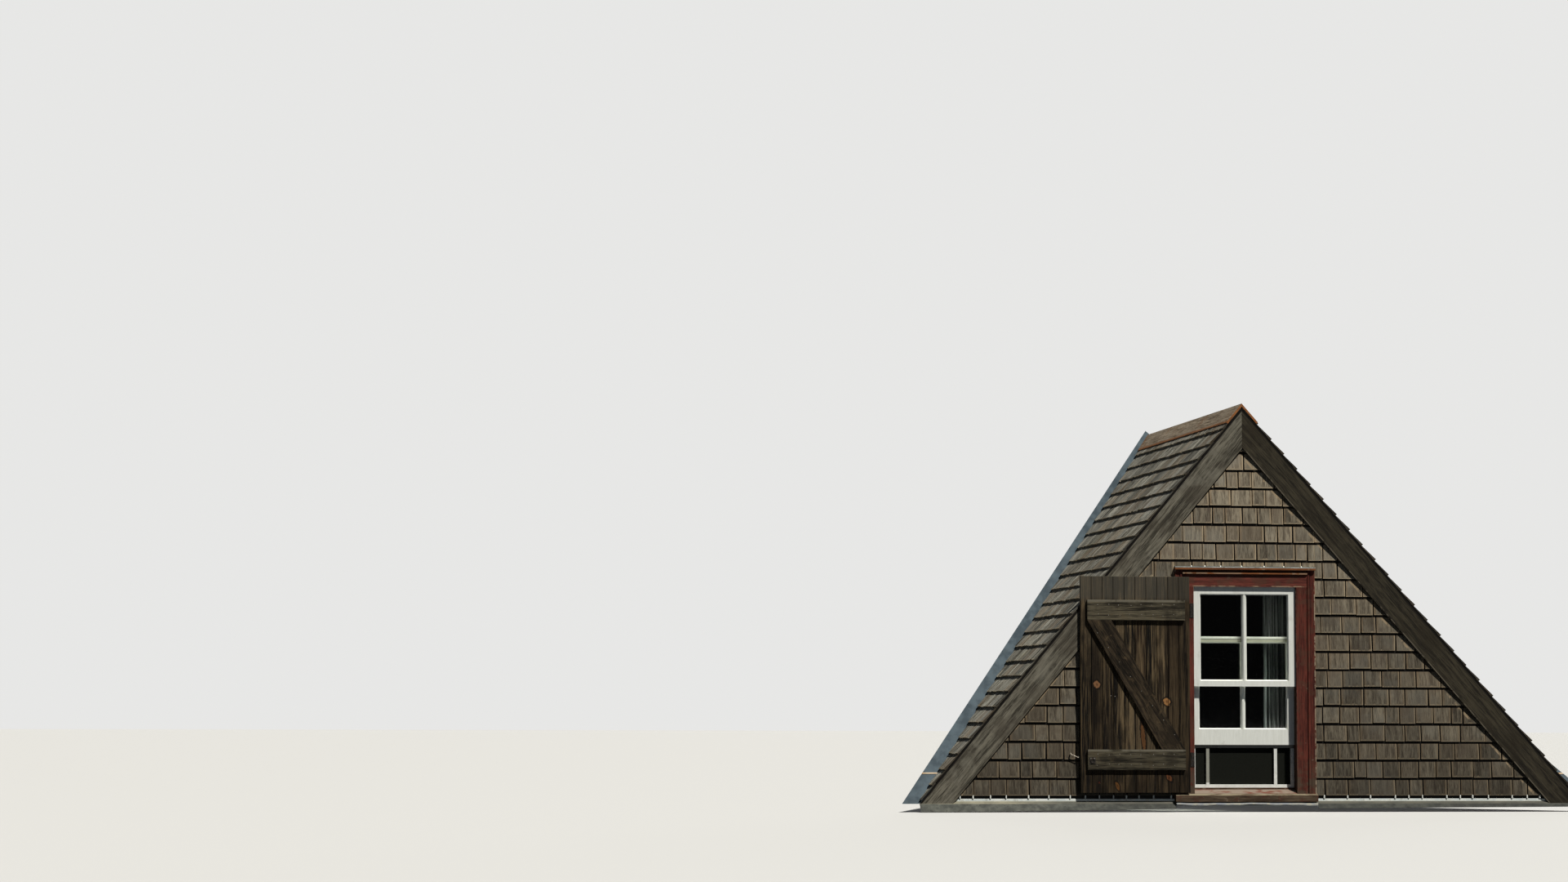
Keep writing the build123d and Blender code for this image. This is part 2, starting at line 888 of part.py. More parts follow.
with BuildPart() as curtain:
    curtain_top = rod_z - rod_radius - curtain_clearance
    with Locations((window_center + curtain_center, rod_y, curtain_top)):
        Box(
            curtain_width,
            curtain_thick,
            curtain_length,
            align=(Align.CENTER, Align.CENTER, Align.MAX),
        )
save("curtain", curtain)

# Board shutter: a slab of narrow boards, two battens and a brace on the side that shows
with BuildPart() as shutter_boards:
    with BuildSketch(front(shutter_open_out)):
        outline(
            (shutter_left, shutter_foot),
            (shutter_right, shutter_foot),
            (shutter_right, shutter_top),
            (shutter_left, shutter_top),
        )
    extrude(amount=shutter_thick)
    board_width = shutter_width / shutter_boards_count
    for joint in range(1, shutter_boards_count):
        joint_x = shutter_left + joint * board_width
        with BuildSketch(front(shutter_face)):
            outline(
                (joint_x - shutter_groove / 2, shutter_foot),
                (joint_x + shutter_groove / 2, shutter_foot),
                (joint_x + shutter_groove / 2, shutter_top),
                (joint_x - shutter_groove / 2, shutter_top),
            )
        extrude(amount=-shutter_groove, mode=Mode.SUBTRACT)
save("shutter_boards", shutter_boards)

batten_left = shutter_left + batten_inset_free
batten_right = shutter_right - batten_inset_hinge

with BuildPart() as shutter_battens:
    for batten_foot in (upper_batten_foot, lower_batten_foot):
        with BuildSketch(front(shutter_face)):
            outline(
                (batten_left, batten_foot),
                (batten_right, batten_foot),
                (batten_right, batten_foot + batten_width),
                (batten_left, batten_foot + batten_width),
            )
        extrude(amount=batten_thick)
save("shutter_battens", shutter_battens)

with BuildPart() as shutter_brace:
    brace_top = upper_batten_foot
    brace_foot = lower_batten_foot + batten_width
    run = batten_right - batten_left
    rise = brace_top - brace_foot
    level_width = brace_width * hypot(run - brace_width, rise) / rise
    with BuildSketch(front(shutter_face)):
        outline(
            (batten_left, brace_top),
            (batten_left + level_width, brace_top),
            (batten_right, brace_foot),
            (batten_right - level_width, brace_foot),
        )
    extrude(amount=batten_thick)
save("shutter_brace", shutter_brace)

# Hinges: leaves and pins on the casing, and leaves behind the shutter's boards
hinge_heights = (lower_batten_foot + batten_width / 2, upper_batten_foot + batten_width / 2)
pin_y = wall_face - pin_out
barrel = 2 * knuckle_height + knuckle_height + 2 * knuckle_gap

with BuildPart() as hinge_pins:
    for hinge_height in hinge_heights:
        foot = wall_foot + hinge_height - barrel / 2
        with Locations((pin_x, wall_face - casing_thick, foot + barrel / 2)):
            Box(fixed_leaf_width, leaf_thick, leaf_height, align=(Align.CENTER, Align.MAX, Align.CENTER))
        for knuckle_foot in (foot, foot + barrel - knuckle_height):
            with Locations((pin_x, pin_y, knuckle_foot)):
                Cylinder(knuckle_radius, knuckle_height, align=(Align.CENTER, Align.CENTER, Align.MIN))
                Box(
                    web_thick,
                    pin_out - casing_thick,
                    knuckle_height,
                    align=(Align.CENTER, Align.MIN, Align.MIN),
                )
        with Locations((pin_x, pin_y, foot)):
            Cylinder(pin_radius, barrel, align=(Align.CENTER, Align.CENTER, Align.MIN))
save("hinge_pins", hinge_pins)

with BuildPart() as hinge_leaves:
    for hinge_height in hinge_heights:
        middle = wall_foot + hinge_height
        with Locations((pin_x, pin_y, middle)):
            Cylinder(knuckle_radius, knuckle_height)
        with Locations((pin_x, wall_face - shutter_open_out, middle)):
            Box(
                leaf_length + edge_to_pin,
                leaf_thick,
                knuckle_height,
                align=(Align.MAX, Align.MIN, Align.CENTER),
            )
        with Locations((shutter_right, pin_y, middle)):
            Box(
                edge_to_pin,
                pin_out - shutter_open_out,
                knuckle_height,
                align=(Align.MIN, Align.MIN, Align.CENTER),
            )
        with Locations((pin_x, pin_y, middle)):
            Cylinder(pin_radius + pin_play, knuckle_height, mode=Mode.SUBTRACT)
save("hinge_leaves", hinge_leaves)

# Hook that holds the open shutter, hanging free, and the eye on the lower batten
with BuildPart() as shutter_hook:
    hook_x = shutter_left - hook_from_shutter
    hook_z = wall_foot + shutter_foot + hook_rise
    face_y = wall_face - wall_shingle_butt
    ring_y = face_y - hook_ring_radius - ring_wire_radius
    stem_y = wall_face - metal_thick
    with BuildSketch(Plane(origin=(hook_x, stem_y, hook_z), x_dir=(1, 0, 0), z_dir=(0, -1, 0))):
        Circle(ring_stem_radius)
    extrude(amount=stem_y - ring_y - hook_ring_radius)
    add(wall_shingles_left.part, mode=Mode.SUBTRACT)
    with Locations(Plane(origin=(hook_x, ring_y, hook_z), x_dir=(0, 1, 0), z_dir=(1, 0, 0))):
        Torus(hook_ring_radius, ring_wire_radius)
    bend_x = shutter_left - moving_clearance - 2 * hook_wire_radius
    wire_y = ring_y - hook_ring_radius
    wire = [
        (hook_x, wire_y, hook_z),
        (bend_x, wire_y, hook_z - hook_drop),
        (bend_x, wire_y, hook_z - hook_drop + hook_tip),
    ]
    for start, end in zip(wire, wire[1:]):
        along = Vector(end) - Vector(start)
        with BuildSketch(Plane(origin=start, z_dir=along)):
            Circle(hook_wire_radius)
        extrude(amount=along.length)
    for joint in wire[1:]:
        with Locations(joint):
            Sphere(hook_wire_radius)
save("shutter_hook", shutter_hook)

with BuildPart() as shutter_eye:
    eye_x = shutter_left + eye_inset
    eye_z = wall_foot + lower_batten_foot + eye_rise
    eye_y = wall_face - shutter_face - batten_thick
    with Locations((eye_x, eye_y, eye_z)):
        Box(eye_plate, eye_plate_thick, eye_plate, align=(Align.CENTER, Align.MAX, Align.CENTER))
    ring_y = eye_y - eye_plate_thick - eye_wire_radius + 0.5
    with Locations(Plane(origin=(eye_x, ring_y, eye_z), x_dir=(1, 0, 0), z_dir=(0, -1, 0))):
        Torus(eye_ring_radius, eye_wire_radius)
save("shutter_eye", shutter_eye)
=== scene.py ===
import math
import random

import bmesh
import bpy
from mathutils import Matrix, Vector


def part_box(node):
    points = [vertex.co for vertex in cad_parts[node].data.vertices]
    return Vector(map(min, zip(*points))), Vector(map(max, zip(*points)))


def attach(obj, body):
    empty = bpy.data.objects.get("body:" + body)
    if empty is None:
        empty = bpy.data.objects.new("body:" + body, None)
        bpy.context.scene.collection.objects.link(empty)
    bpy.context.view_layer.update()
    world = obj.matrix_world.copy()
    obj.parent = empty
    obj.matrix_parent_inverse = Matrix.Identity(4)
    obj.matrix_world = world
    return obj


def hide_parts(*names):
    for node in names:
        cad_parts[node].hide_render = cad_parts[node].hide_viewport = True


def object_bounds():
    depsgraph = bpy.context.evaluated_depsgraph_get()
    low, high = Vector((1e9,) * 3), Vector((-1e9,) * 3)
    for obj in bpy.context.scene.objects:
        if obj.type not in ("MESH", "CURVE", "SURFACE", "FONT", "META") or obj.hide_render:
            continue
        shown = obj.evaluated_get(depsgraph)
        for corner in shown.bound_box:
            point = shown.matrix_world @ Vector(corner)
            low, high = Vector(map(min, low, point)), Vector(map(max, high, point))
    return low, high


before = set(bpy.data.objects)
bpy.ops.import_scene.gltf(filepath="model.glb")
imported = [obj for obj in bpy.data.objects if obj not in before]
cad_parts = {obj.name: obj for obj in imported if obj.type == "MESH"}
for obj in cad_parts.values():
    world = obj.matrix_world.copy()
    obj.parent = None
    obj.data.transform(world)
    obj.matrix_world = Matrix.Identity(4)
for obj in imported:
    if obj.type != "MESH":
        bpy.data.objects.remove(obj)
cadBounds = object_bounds()
random.seed(41)

# The wall's boarding and the two slopes, in metres; a lift is square to a slope, from its boarding
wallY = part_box("wall_sheathing_left")[0][1]
wallFoot = wallY  # the main roof rises at 45 degrees from the origin
roofPitch = math.radians(45)
apexHeight = 2.787
slopes = {
    "left": {"side": -1, "angle": math.atan(apexHeight / 2.32)},
    "right": {"side": 1, "angle": math.atan(apexHeight / 2.474)},
}
roofNormal = Vector((0, -math.sin(roofPitch), math.cos(roofPitch)))
rakeWidth = 0.182
rakeGap = 0.0015
feltOut = (0.0011, 0.0032)


def wallPoint(x, out, height):
    return Vector((x, wallY - out, wallFoot + height))


def slopePoint(slope, down, lift, back):
    turn = slope["angle"]
    return Vector((
        slope["side"] * (down * math.cos(turn) + lift * math.sin(turn)),
        wallY + back,
        wallFoot + apexHeight - down * math.sin(turn) + lift * math.cos(turn),
    ))


def slopeNormal(slope):
    return Vector((slope["side"] * math.sin(slope["angle"]), 0, math.cos(slope["angle"])))


def slopeTurn(slope):
    return (0, -slope["side"] * slope["angle"], 0)


def apexLift(slope):
    # the apex's Z after a slope's turn
    return Vector((0, 0, wallFoot + apexHeight)).dot(slopeNormal(slope))


def newMesh():
    bm = bmesh.new()
    bm.faces.layers.float.new("tone")
    bm.loops.layers.uv.new("share")
    return bm


def addBlock(bm, place, tone=0.5, slot=0, across=0, up=2):
    # the share map runs from 0 to 1 across a block and up it
    corners = bmesh.ops.create_cube(bm, size=1.0)["verts"]
    shares = {}
    for corner in corners:
        shares[corner] = corner.co + Vector((0.5, 0.5, 0.5))
        corner.co = place(*shares[corner])
    toneLayer = bm.faces.layers.float["tone"]
    shareLayer = bm.loops.layers.uv["share"]
    for face in {f for corner in corners for f in corner.link_faces}:
        face[toneLayer] = tone
        face.material_index = slot
        for loop in face.loops:
            loop[shareLayer].uv = (shares[loop.vert][across], shares[loop.vert][up])
    return corners


def addWallBoard(bm, x0, x1, out0, out1, h0, h1, tone=0.5, slot=0):
    low = wallPoint(x0, out1, h0)
    size = wallPoint(x1, out0, h1) - low
    return addBlock(bm, lambda u, v, w: low + Vector((size.x * u, size.y * v, size.z * w)), tone, slot)


def softenEdges(bm, width, edges=None):
    bmesh.ops.bevel(
        bm, geom=edges or bm.edges[:], offset=width, affect="EDGES", segments=1, profile=0.5, material=-1,
        clamp_overlap=True,
    )


def trim(bm, point, normal):
    # keeps what lies on the normal's side and closes the cuts
    cut = bmesh.ops.bisect_plane(
        bm, geom=bm.verts[:] + bm.edges[:] + bm.faces[:], dist=1e-6, plane_co=point, plane_no=normal,
        clear_inner=True,
    )
    rim = [e for e in cut["geom_cut"] if isinstance(e, bmesh.types.BMEdge)]
    filled = bmesh.ops.holes_fill(bm, edges=rim, sides=0)["faces"]
    toneLayer = bm.faces.layers.float["tone"]
    for face in filled:
        for edge in face.edges:
            other = [f for f in edge.link_faces if f is not face]
            if other:
                face[toneLayer] = other[0][toneLayer]
                face.material_index = other[0].material_index
                break


def trimRake(bm, side):
    # ends a piece of the wall under the rake board
    slope = slopes[side]
    trim(bm, slopePoint(slope, 0, -rakeWidth - rakeGap, 0), -slopeNormal(slope))


def finishPiece(bm, name, surfaces, body="dormer", stands=(), smooth=False):
    bmesh.ops.recalc_face_normals(bm, faces=bm.faces[:])
    mesh = bpy.data.meshes.new(name)
    bm.to_mesh(mesh)
    bm.free()
    piece = bpy.data.objects.new(name, mesh)
    bpy.context.scene.collection.objects.link(piece)
    for surface in surfaces:
        mesh.materials.append(surface.material)
    if smooth:
        mesh.shade_smooth()
    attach(piece, body)
    if stands:
        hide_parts(*stands)
    print("piece", name, len(mesh.polygons))
    return piece


def dress(surface, *nodes):
    for node in nodes:
        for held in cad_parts[node].material_slots:
            held.material = surface.material


class Nodes:
    # fills a node tree; most calls give back a socket
    def __init__(self, tree):
        self.tree = tree

    def put(self, value, socket):
        if isinstance(value, bpy.types.NodeSocket):
            self.tree.links.new(value, socket)
        elif value is not None:
            socket.default_value = (*value, 1.0) if socket.type == "RGBA" else value

    def node(self, kind, settings=None, **values):
        node = self.tree.nodes.new("ShaderNode" + kind)
        for key, value in (settings or {}).items():
            setattr(node, key, value)
        for label, value in values.items():
            self.put(value, node.inputs[label])
        return node

    def numbered(self, kind, settings, values):
        node = self.node(kind, settings)
        for index, value in values:
            self.put(value, node.inputs[index])
        return node.outputs

    def calc(self, operation, first, second=None, clamp=False):
        settings = {"operation": operation, "use_clamp": clamp}
        return self.numbered("Math", settings, enumerate((first, second)))[0]

    def times(self, first, second, clamp=False):
        return self.calc("MULTIPLY", first, second, clamp)

    def plus(self, first, second):
        return self.calc("ADD", first, second)

    def less(self, first, second):
        return self.calc("SUBTRACT", first, second)

    def most(self, first, second):
        return self.calc("MAXIMUM", first, second)

    def vector(self, operation, first, second=None):
        return self.numbered("VectorMath", {"operation": operation}, enumerate((first, second)))

    def mix(self, share, first, second, blend="MIX"):
        settings = {"data_type": "RGBA", "blend_type": blend, "clamp_factor": True}
        return self.numbered("Mix", settings, ((0, share), (6, first), (7, second)))[2]

    def ramp(self, value, low, high, toLow=0.0, toHigh=1.0, smooth=False):
        settings = {"interpolation_type": "SMOOTHSTEP" if smooth else "LINEAR"}
        return self.numbered("MapRange", settings, enumerate((value, low, high, toLow, toHigh)))[0]

    def axis(self, places, index):
        return self.node("SeparateXYZ", Vector=places).outputs[index]

    def noise(self, places, scale, detail, **more):
        return self.node("TexNoise", Vector=places, Scale=scale, Detail=detail, **more).outputs[0]

    def group(self, group, **values):
        return self.node("Group", {"node_tree": group}, **values).outputs


class Surface(Nodes):
    # a material; places are object coordinates unless a call gives others
    def __init__(self, name, roughness=0.7, metallic=0.0, specular=0.3):
        self.material = bpy.data.materials.new(name)
        self.material.use_nodes = True
        super().__init__(self.material.node_tree)
        self.shader = self.tree.nodes["Principled BSDF"]
        self.sockets = self.shader.inputs
        self.sockets["Roughness"].default_value = roughness
        self.sockets["Metallic"].default_value = metallic
        self.sockets["Specular IOR Level"].default_value = specular
        self.coordinates = self.node("TexCoord").outputs
        self.places = self.coordinates["Object"]

    def paint(self, color):
        self.color = color
        self.put(color, self.sockets["Base Color"])

    def cover(self, mask, tint, share=None):
        # lays a tint over the colour so far
        mask = mask if share is None else self.times(mask, share)
        self.paint(self.mix(mask, self.color, tint))

    def multiply(self, level):
        gray = self.numbered("CombineColor", {}, ((channel, level) for channel in range(3)))[0]
        self.paint(self.mix(1.0, self.color, gray, "MULTIPLY"))

    def bump(self, height, strength, distance):
        bump = self.node("Bump", Strength=strength, Distance=distance, Height=height)
        self.put(bump.outputs["Normal"], self.sockets["Normal"])

    def tone(self):
        return self.node("Attribute", {"attribute_name": "tone"}).outputs["Fac"]

    def turned(self, rotation=(0, 0, 0), scale=(1, 1, 1), places=None):
        return self.node("Mapping", Vector=places or self.places, Rotation=rotation, Scale=scale).outputs[0]

    def band(self, axis, low, high, soft, places=None):
        # 1 between two levels of a coordinate
        level = self.axis(places or self.places, axis)
        rising = self.ramp(level, low - soft, low + soft, smooth=True)
        falling = self.ramp(level, high - soft, high + soft, 1.0, 0.0, smooth=True)
        return self.times(rising, falling)

    def heights(self, low, high, soft):
        # a band between two heights over the wall's foot
        return self.band(2, wallFoot + low, wallFoot + high, soft)

    def patch(self, size, start, full, places=None):
        places = places or self.places
        return self.group(weatherPatch, Vector=places, Size=size, Start=start, Full=full)["Mask"]

    def facesUp(self, low, high):
        return self.ramp(self.axis(self.node("NewGeometry").outputs["Normal"], 2), low, high)


# Shader groups that the materials share; inputs are numbers unless their value is None
def newGroup(name, inputs, outputs):
    group = bpy.data.node_groups.new(name, "ShaderNodeTree")
    for label, value in inputs.items():
        kind = "NodeSocketVector" if value is None else "NodeSocketFloat"
        socket = group.interface.new_socket(name=label, in_out="INPUT", socket_type=kind)
        if value is not None:
            socket.default_value = value
    for label in outputs:
        group.interface.new_socket(name=label, in_out="OUTPUT", socket_type="NodeSocketFloat")
    given = group.nodes.new("NodeGroupInput").outputs
    return group, Nodes(group), given, group.nodes.new("NodeGroupOutput").inputs


# Wood fibres run along the vector's X
woodFibre, fill, given, found = newGroup(
    "woodFibre", {"Vector": None, "Fineness": 1.0, "Piece": 0.5, "Spread": 0.09}, ("Streaks", "Height")
)
pieceShift = fill.numbered("CombineXYZ", {}, (
    (0, fill.times(given["Piece"], 7.3)), (1, fill.times(given["Piece"], 3.1)),
))[0]
shifted = fill.vector("ADD", given["Vector"], pieceShift)[0]
stretched = fill.node("Mapping", Vector=shifted, Scale=(0.07, 1.0, 1.0)).outputs[0]
fine = fill.noise(stretched, fill.times(given["Fineness"], 210.0), 5.0, Roughness=0.62)
broad = fill.noise(stretched, fill.times(given["Fineness"], 42.0), 4.0, Roughness=0.55, Distortion=0.6)
blend = fill.plus(fill.times(fine, 0.5), fill.times(broad, 0.5))
streaks = fill.ramp(blend, fill.less(0.5, given["Spread"]), fill.plus(0.5, given["Spread"]))
fill.put(streaks, found["Streaks"])
fill.put(blend, found["Height"])

# Soft patches of weather, dirt or wear
weatherPatch, fill, given, found = newGroup(
    "weatherPatch", {"Vector": None, "Size": 0.1, "Start": 0.45, "Full": 0.6}, ("Mask",)
)
patchNoise = fill.noise(given["Vector"], fill.calc("DIVIDE", 1.0, given["Size"]), 6.0, Roughness=0.6)
fill.put(fill.ramp(patchNoise, given["Start"], given["Full"], smooth=True), found["Mask"])

# Dark lines between boards, across the vector's Y
boardJoint, fill, given, found = newGroup(
    "boardJoint", {"Vector": None, "Width": 0.14, "Gap": 0.003}, ("Line", "Board")
)
counted = fill.calc("DIVIDE", fill.axis(given["Vector"], 1), given["Width"])
lineShare = fill.calc("DIVIDE", given["Gap"], given["Width"])
fill.put(fill.calc("LESS_THAN", fill.calc("FRACT", counted), lineShare), found["Line"])
boardNumber = fill.node("TexWhiteNoise", {"noise_dimensions": "1D"}, W=fill.calc("FLOOR", counted))
fill.put(boardNumber.outputs["Value"], found["Board"])

shadeTint = (0.006, 0.005, 0.004)
# what a wood's look says unless its own dictionary does
plainWood = {
    "roughness": 0.78, "specular": 0.1, "turn": (0, 0, 0), "scale": (1, 1, 1), "tones": False,
    "fineness": 1.0, "spread": 0.09, "patchSize": 0.12, "patchStart": 0.48, "patchFull": 0.62,
    "patchShare": 0.7, "secondSize": 0.05, "secondStart": 0.55, "secondFull": 0.66, "secondShare": 0.6,
    "toneRange": (0.6, 1.4), "warmShare": 0.5, "edgeShare": 0.7, "lipHeight": 0.05, "lipShare": 0.5,
    "rimShare": 0.5, "bump": 0.5, "depth": 0.002,
}
# places on a shingle, as shares of its width or height, and how strong the lesser stains are
shingleMarks = {
    "ragged": 0.5, "raggedSide": 0.25, "raggedRim": 0.12, "sides": (0.34, 0.49), "under": (0.26, 0.04),
    "rim": (0.952, 0.966), "shadeSoft": 0.03, "faint": 0.35,
}


def markShingle(mat, look, fibre, tone):
    # its sides, the strip under the next butt, and its own butt
    marks = shingleMarks
    share = mat.node("SeparateXYZ", Vector=mat.coordinates["UV"]).outputs
    ragged = mat.times(mat.less(fibre["Height"], 0.5), marks["ragged"])
    upwards = mat.plus(share[1], ragged)
    fromMiddle = mat.calc("ABSOLUTE", mat.less(share[0], 0.5))
    fromMiddle = mat.plus(fromMiddle, mat.times(ragged, marks["raggedSide"]))
    sides = mat.ramp(fromMiddle, *marks["sides"], smooth=True)
    below, above = marks["under"]
    under = mat.ramp(upwards, look["visible"] - below, look["visible"] + above, smooth=True)
    corner = mat.times(under, mat.plus(marks["faint"], sides), clamp=True)
    odd = mat.calc("FRACT", mat.times(tone, 29.0))
    stain = mat.most(corner, mat.times(sides, marks["faint"]))
    stain = mat.times(stain, mat.ramp(odd, 0.0, 1.0, marks["faint"], 1.0))
    mat.cover(stain, look["edge"], look["edgeShare"])
    lip = mat.ramp(upwards, 0.0, look["lipHeight"], 1.0, 0.0)
    rim = mat.ramp(mat.plus(share[0], mat.times(ragged, marks["raggedRim"])), *marks["rim"])
    mat.cover(mat.most(mat.times(lip, look["lipShare"]), mat.times(rim, look["rimShare"])), look["lip"])
    shadeFoot = look["visible"] - look["shadeHeight"]
    shade = mat.ramp(share[1], shadeFoot, shadeFoot + marks["shadeSoft"])
    mat.cover(shade, shadeTint, look["shadeShare"])


def weatheredWood(name, look):
    look = {**plainWood, **look}
    mat = Surface(name, look["roughness"], specular=look["specular"])
    turned = mat.turned(look["turn"], look["scale"])
    tone = mat.tone() if look["tones"] else 0.5
    fibre = mat.group(woodFibre, Vector=turned, Fineness=look["fineness"], Piece=tone, Spread=look["spread"])
    mat.paint(mat.mix(fibre["Streaks"], look["dark"], look["light"]))
    for kind, over in (("patch", mat.places), ("second", turned)):
        if kind in look:
            mask = mat.patch(look[kind + "Size"], look[kind + "Start"], look[kind + "Full"], over)
            mat.cover(mat.times(mask, look[kind + "Share"]), look[kind])
    if look["tones"]:
        mat.multiply(mat.ramp(tone, 0.0, 1.0, *look["toneRange"]))
        if "warm" in look:
            odd = mat.calc("FRACT", mat.times(tone, 17.0))
            mat.cover(mat.ramp(odd, 0.55, 1.0), look["warm"], look["warmShare"])
    if "edge" in look:
        markShingle(mat, look, fibre, tone)
    if "front" in look:
        # painted shade on the shingles' front ends above the rake boards
        end = mat.band(1, wallY - 0.2, wallY - look["front"], 0.0008)
        mat.cover(end, (0.016, 0.012, 0.008), 0.75)
    if "rise" in look:
        mat.multiply(mat.ramp(mat.axis(mat.places, 2), *look["rise"]))
    if "joints" in look:
        joint = mat.group(boardJoint, Vector=mat.turned(look["jointTurn"]), Width=look["joints"], Gap=0.004)
        mat.cover(mat.ramp(joint["Board"], 0.0, 1.0, 0.0, 0.35), look["dark"])
        mat.cover(joint["Line"], (0.01, 0.008, 0.006))
    mat.bump(fibre["Height"], look["bump"], look["depth"])
    return mat


def wearArrises(mat, scratches, grimeAndShade, grimeAndShadeShare, bare):
    # the tone of a moulding's face says how worn it is; a low tone darkens it, as dirt on open faces and as
    # painted shade in recesses and on undersides
    worn = mat.tone()
    mat.cover(mat.ramp(worn, 0.45, 0.1, 0.0, grimeAndShadeShare), grimeAndShade)
    mat.cover(mat.times(mat.ramp(worn, 0.55, 0.95), mat.patch(*scratches)), bare)


upright = (0, math.radians(90), 0)
along = (0, 0, 0)
intoHouse = (0, 0, math.radians(-90))

print("stage: materials")
roofLook = {
    "dark": (0.036, 0.035, 0.029), "light": (0.42, 0.405, 0.335), "patch": (0.255, 0.25, 0.222),
    "patchSize": 0.35, "patchShare": 0.55, "second": (0.16, 0.155, 0.086), "secondSize": 0.5,
    "secondStart": 0.58, "secondFull": 0.75, "secondShare": 0.35, "warm": (0.25, 0.175, 0.1),
    "warmShare": 0.4, "tones": True, "toneRange": (0.55, 1.45), "depth": 0.004, "bump": 0.8, "spread": 0.07,
    "visible": 0.86, "edge": (0.125, 0.092, 0.05), "lip": (0.34, 0.27, 0.16), "edgeShare": 0.5,
    "rimShare": 0.4, "shadeHeight": 0.09, "shadeShare": 0.5, "front": 0.0272,
}
# painted shade: the right slope takes the sun square on, so its wood is painted darker
roofSideShade = {
    "left": {},
    "right": {
        "light": (0.215, 0.208, 0.174), "patch": (0.142, 0.14, 0.124), "edge": (0.085, 0.063, 0.036),
        "lip": (0.2, 0.16, 0.1),
    },
}
roofWood = {
    side: weatheredWood("roofShingle_" + side, {**roofLook, **roofSideShade[side], "turn": slopeTurn(slope)})
    for side, slope in slopes.items()
}
wallWood = mat = weatheredWood("wallShingle", {
    "dark": (0.05, 0.041, 0.029), "light": (0.164, 0.141, 0.101), "patch": (0.124, 0.116, 0.094),
    "patchSize": 0.3, "patchShare": 0.5, "second": (0.074, 0.058, 0.042), "secondSize": 0.12,
    "secondStart": 0.5, "secondShare": 0.45, "warm": (0.12, 0.092, 0.062), "warmShare": 0.35, "tones": True,
    "toneRange": (0.68, 1.28), "turn": upright, "depth": 0.003, "bump": 0.7, "spread": 0.085,
    "visible": 0.84, "edge": (0.25, 0.16, 0.078), "edgeShare": 0.75, "lip": (0.27, 0.215, 0.14),
    "lipShare": 0.6, "rimShare": 0.85, "lipHeight": 0.045, "shadeHeight": 0.135, "shadeShare": 1.0,
    "rise": (wallFoot + 0.1, wallFoot + 2.2, 0.67, 1.78),
})
# tan bands follow the rakes, the right one further down
rakeTanBand = {"left": 0.016, "right": 0.046, "width": 0.016, "soft": 0.003, "share": 0.8}
for side, slope in slopes.items():
    lift = apexLift(slope) - rakeWidth - rakeTanBand[side]
    cut = mat.band(2, lift, lift + rakeTanBand["width"], rakeTanBand["soft"], mat.turned(slopeTurn(slope)))
    cut = mat.times(cut, mat.patch(0.09, 0.48, 0.6))
    mat.cover(cut, (0.34, 0.255, 0.155), rakeTanBand["share"])
felt = weatheredWood("felt", {
    "dark": (0.008, 0.007, 0.006), "light": (0.016, 0.014, 0.012), "roughness": 0.95,
})
# painted light and shade: the left board is given lighter colours and the right board darker ones
rakeLooksLitAndShaded = {
    "left": {
        "dark": (0.038, 0.034, 0.025), "light": (0.195, 0.178, 0.135), "patch": (0.062, 0.052, 0.038),
        "patchSize": 0.28, "second": (0.215, 0.2, 0.156), "secondSize": 0.22, "secondStart": 0.52,
        "secondFull": 0.68, "wear": (0.17, 0.15, 0.11), "wearShare": 0.35,
    },
    "right": {
        "dark": (0.013, 0.011, 0.008), "light": (0.052, 0.044, 0.028), "patch": (0.024, 0.019, 0.012),
        "patchSize": 0.3, "second": (0.06, 0.05, 0.032), "secondSize": 0.25, "secondStart": 0.54,
        "secondFull": 0.7, "wear": (0.15, 0.13, 0.095), "wearShare": 0.7,
    },
}
rakeWood = {}
for side, slope in slopes.items():
    look = rakeLooksLitAndShaded[side]
    rakeWood[side] = mat = weatheredWood("rakeBoard_" + side, {
        **look, "patchFull": 0.64, "patchShare": 0.6, "secondShare": 0.5, "turn": slopeTurn(slope),
        "depth": 0.0025, "spread": 0.08,
    })
    # a pale strip along the lower edge; Z after the turn is the lift, away from the apex
    turned = mat.turned(slopeTurn(slope))
    top = apexLift(slope)
    wear = mat.band(2, top - rakeWidth - 0.01, top - rakeWidth + 0.007, 0.002, turned)
    wear = mat.times(wear, mat.patch(0.06, 0.4, 0.52, turned))
    mat.cover(wear, look["wear"], look["wearShare"])
    mat.cover(mat.band(2, top - 0.013, top + 0.004, 0.0015, turned), shadeTint)
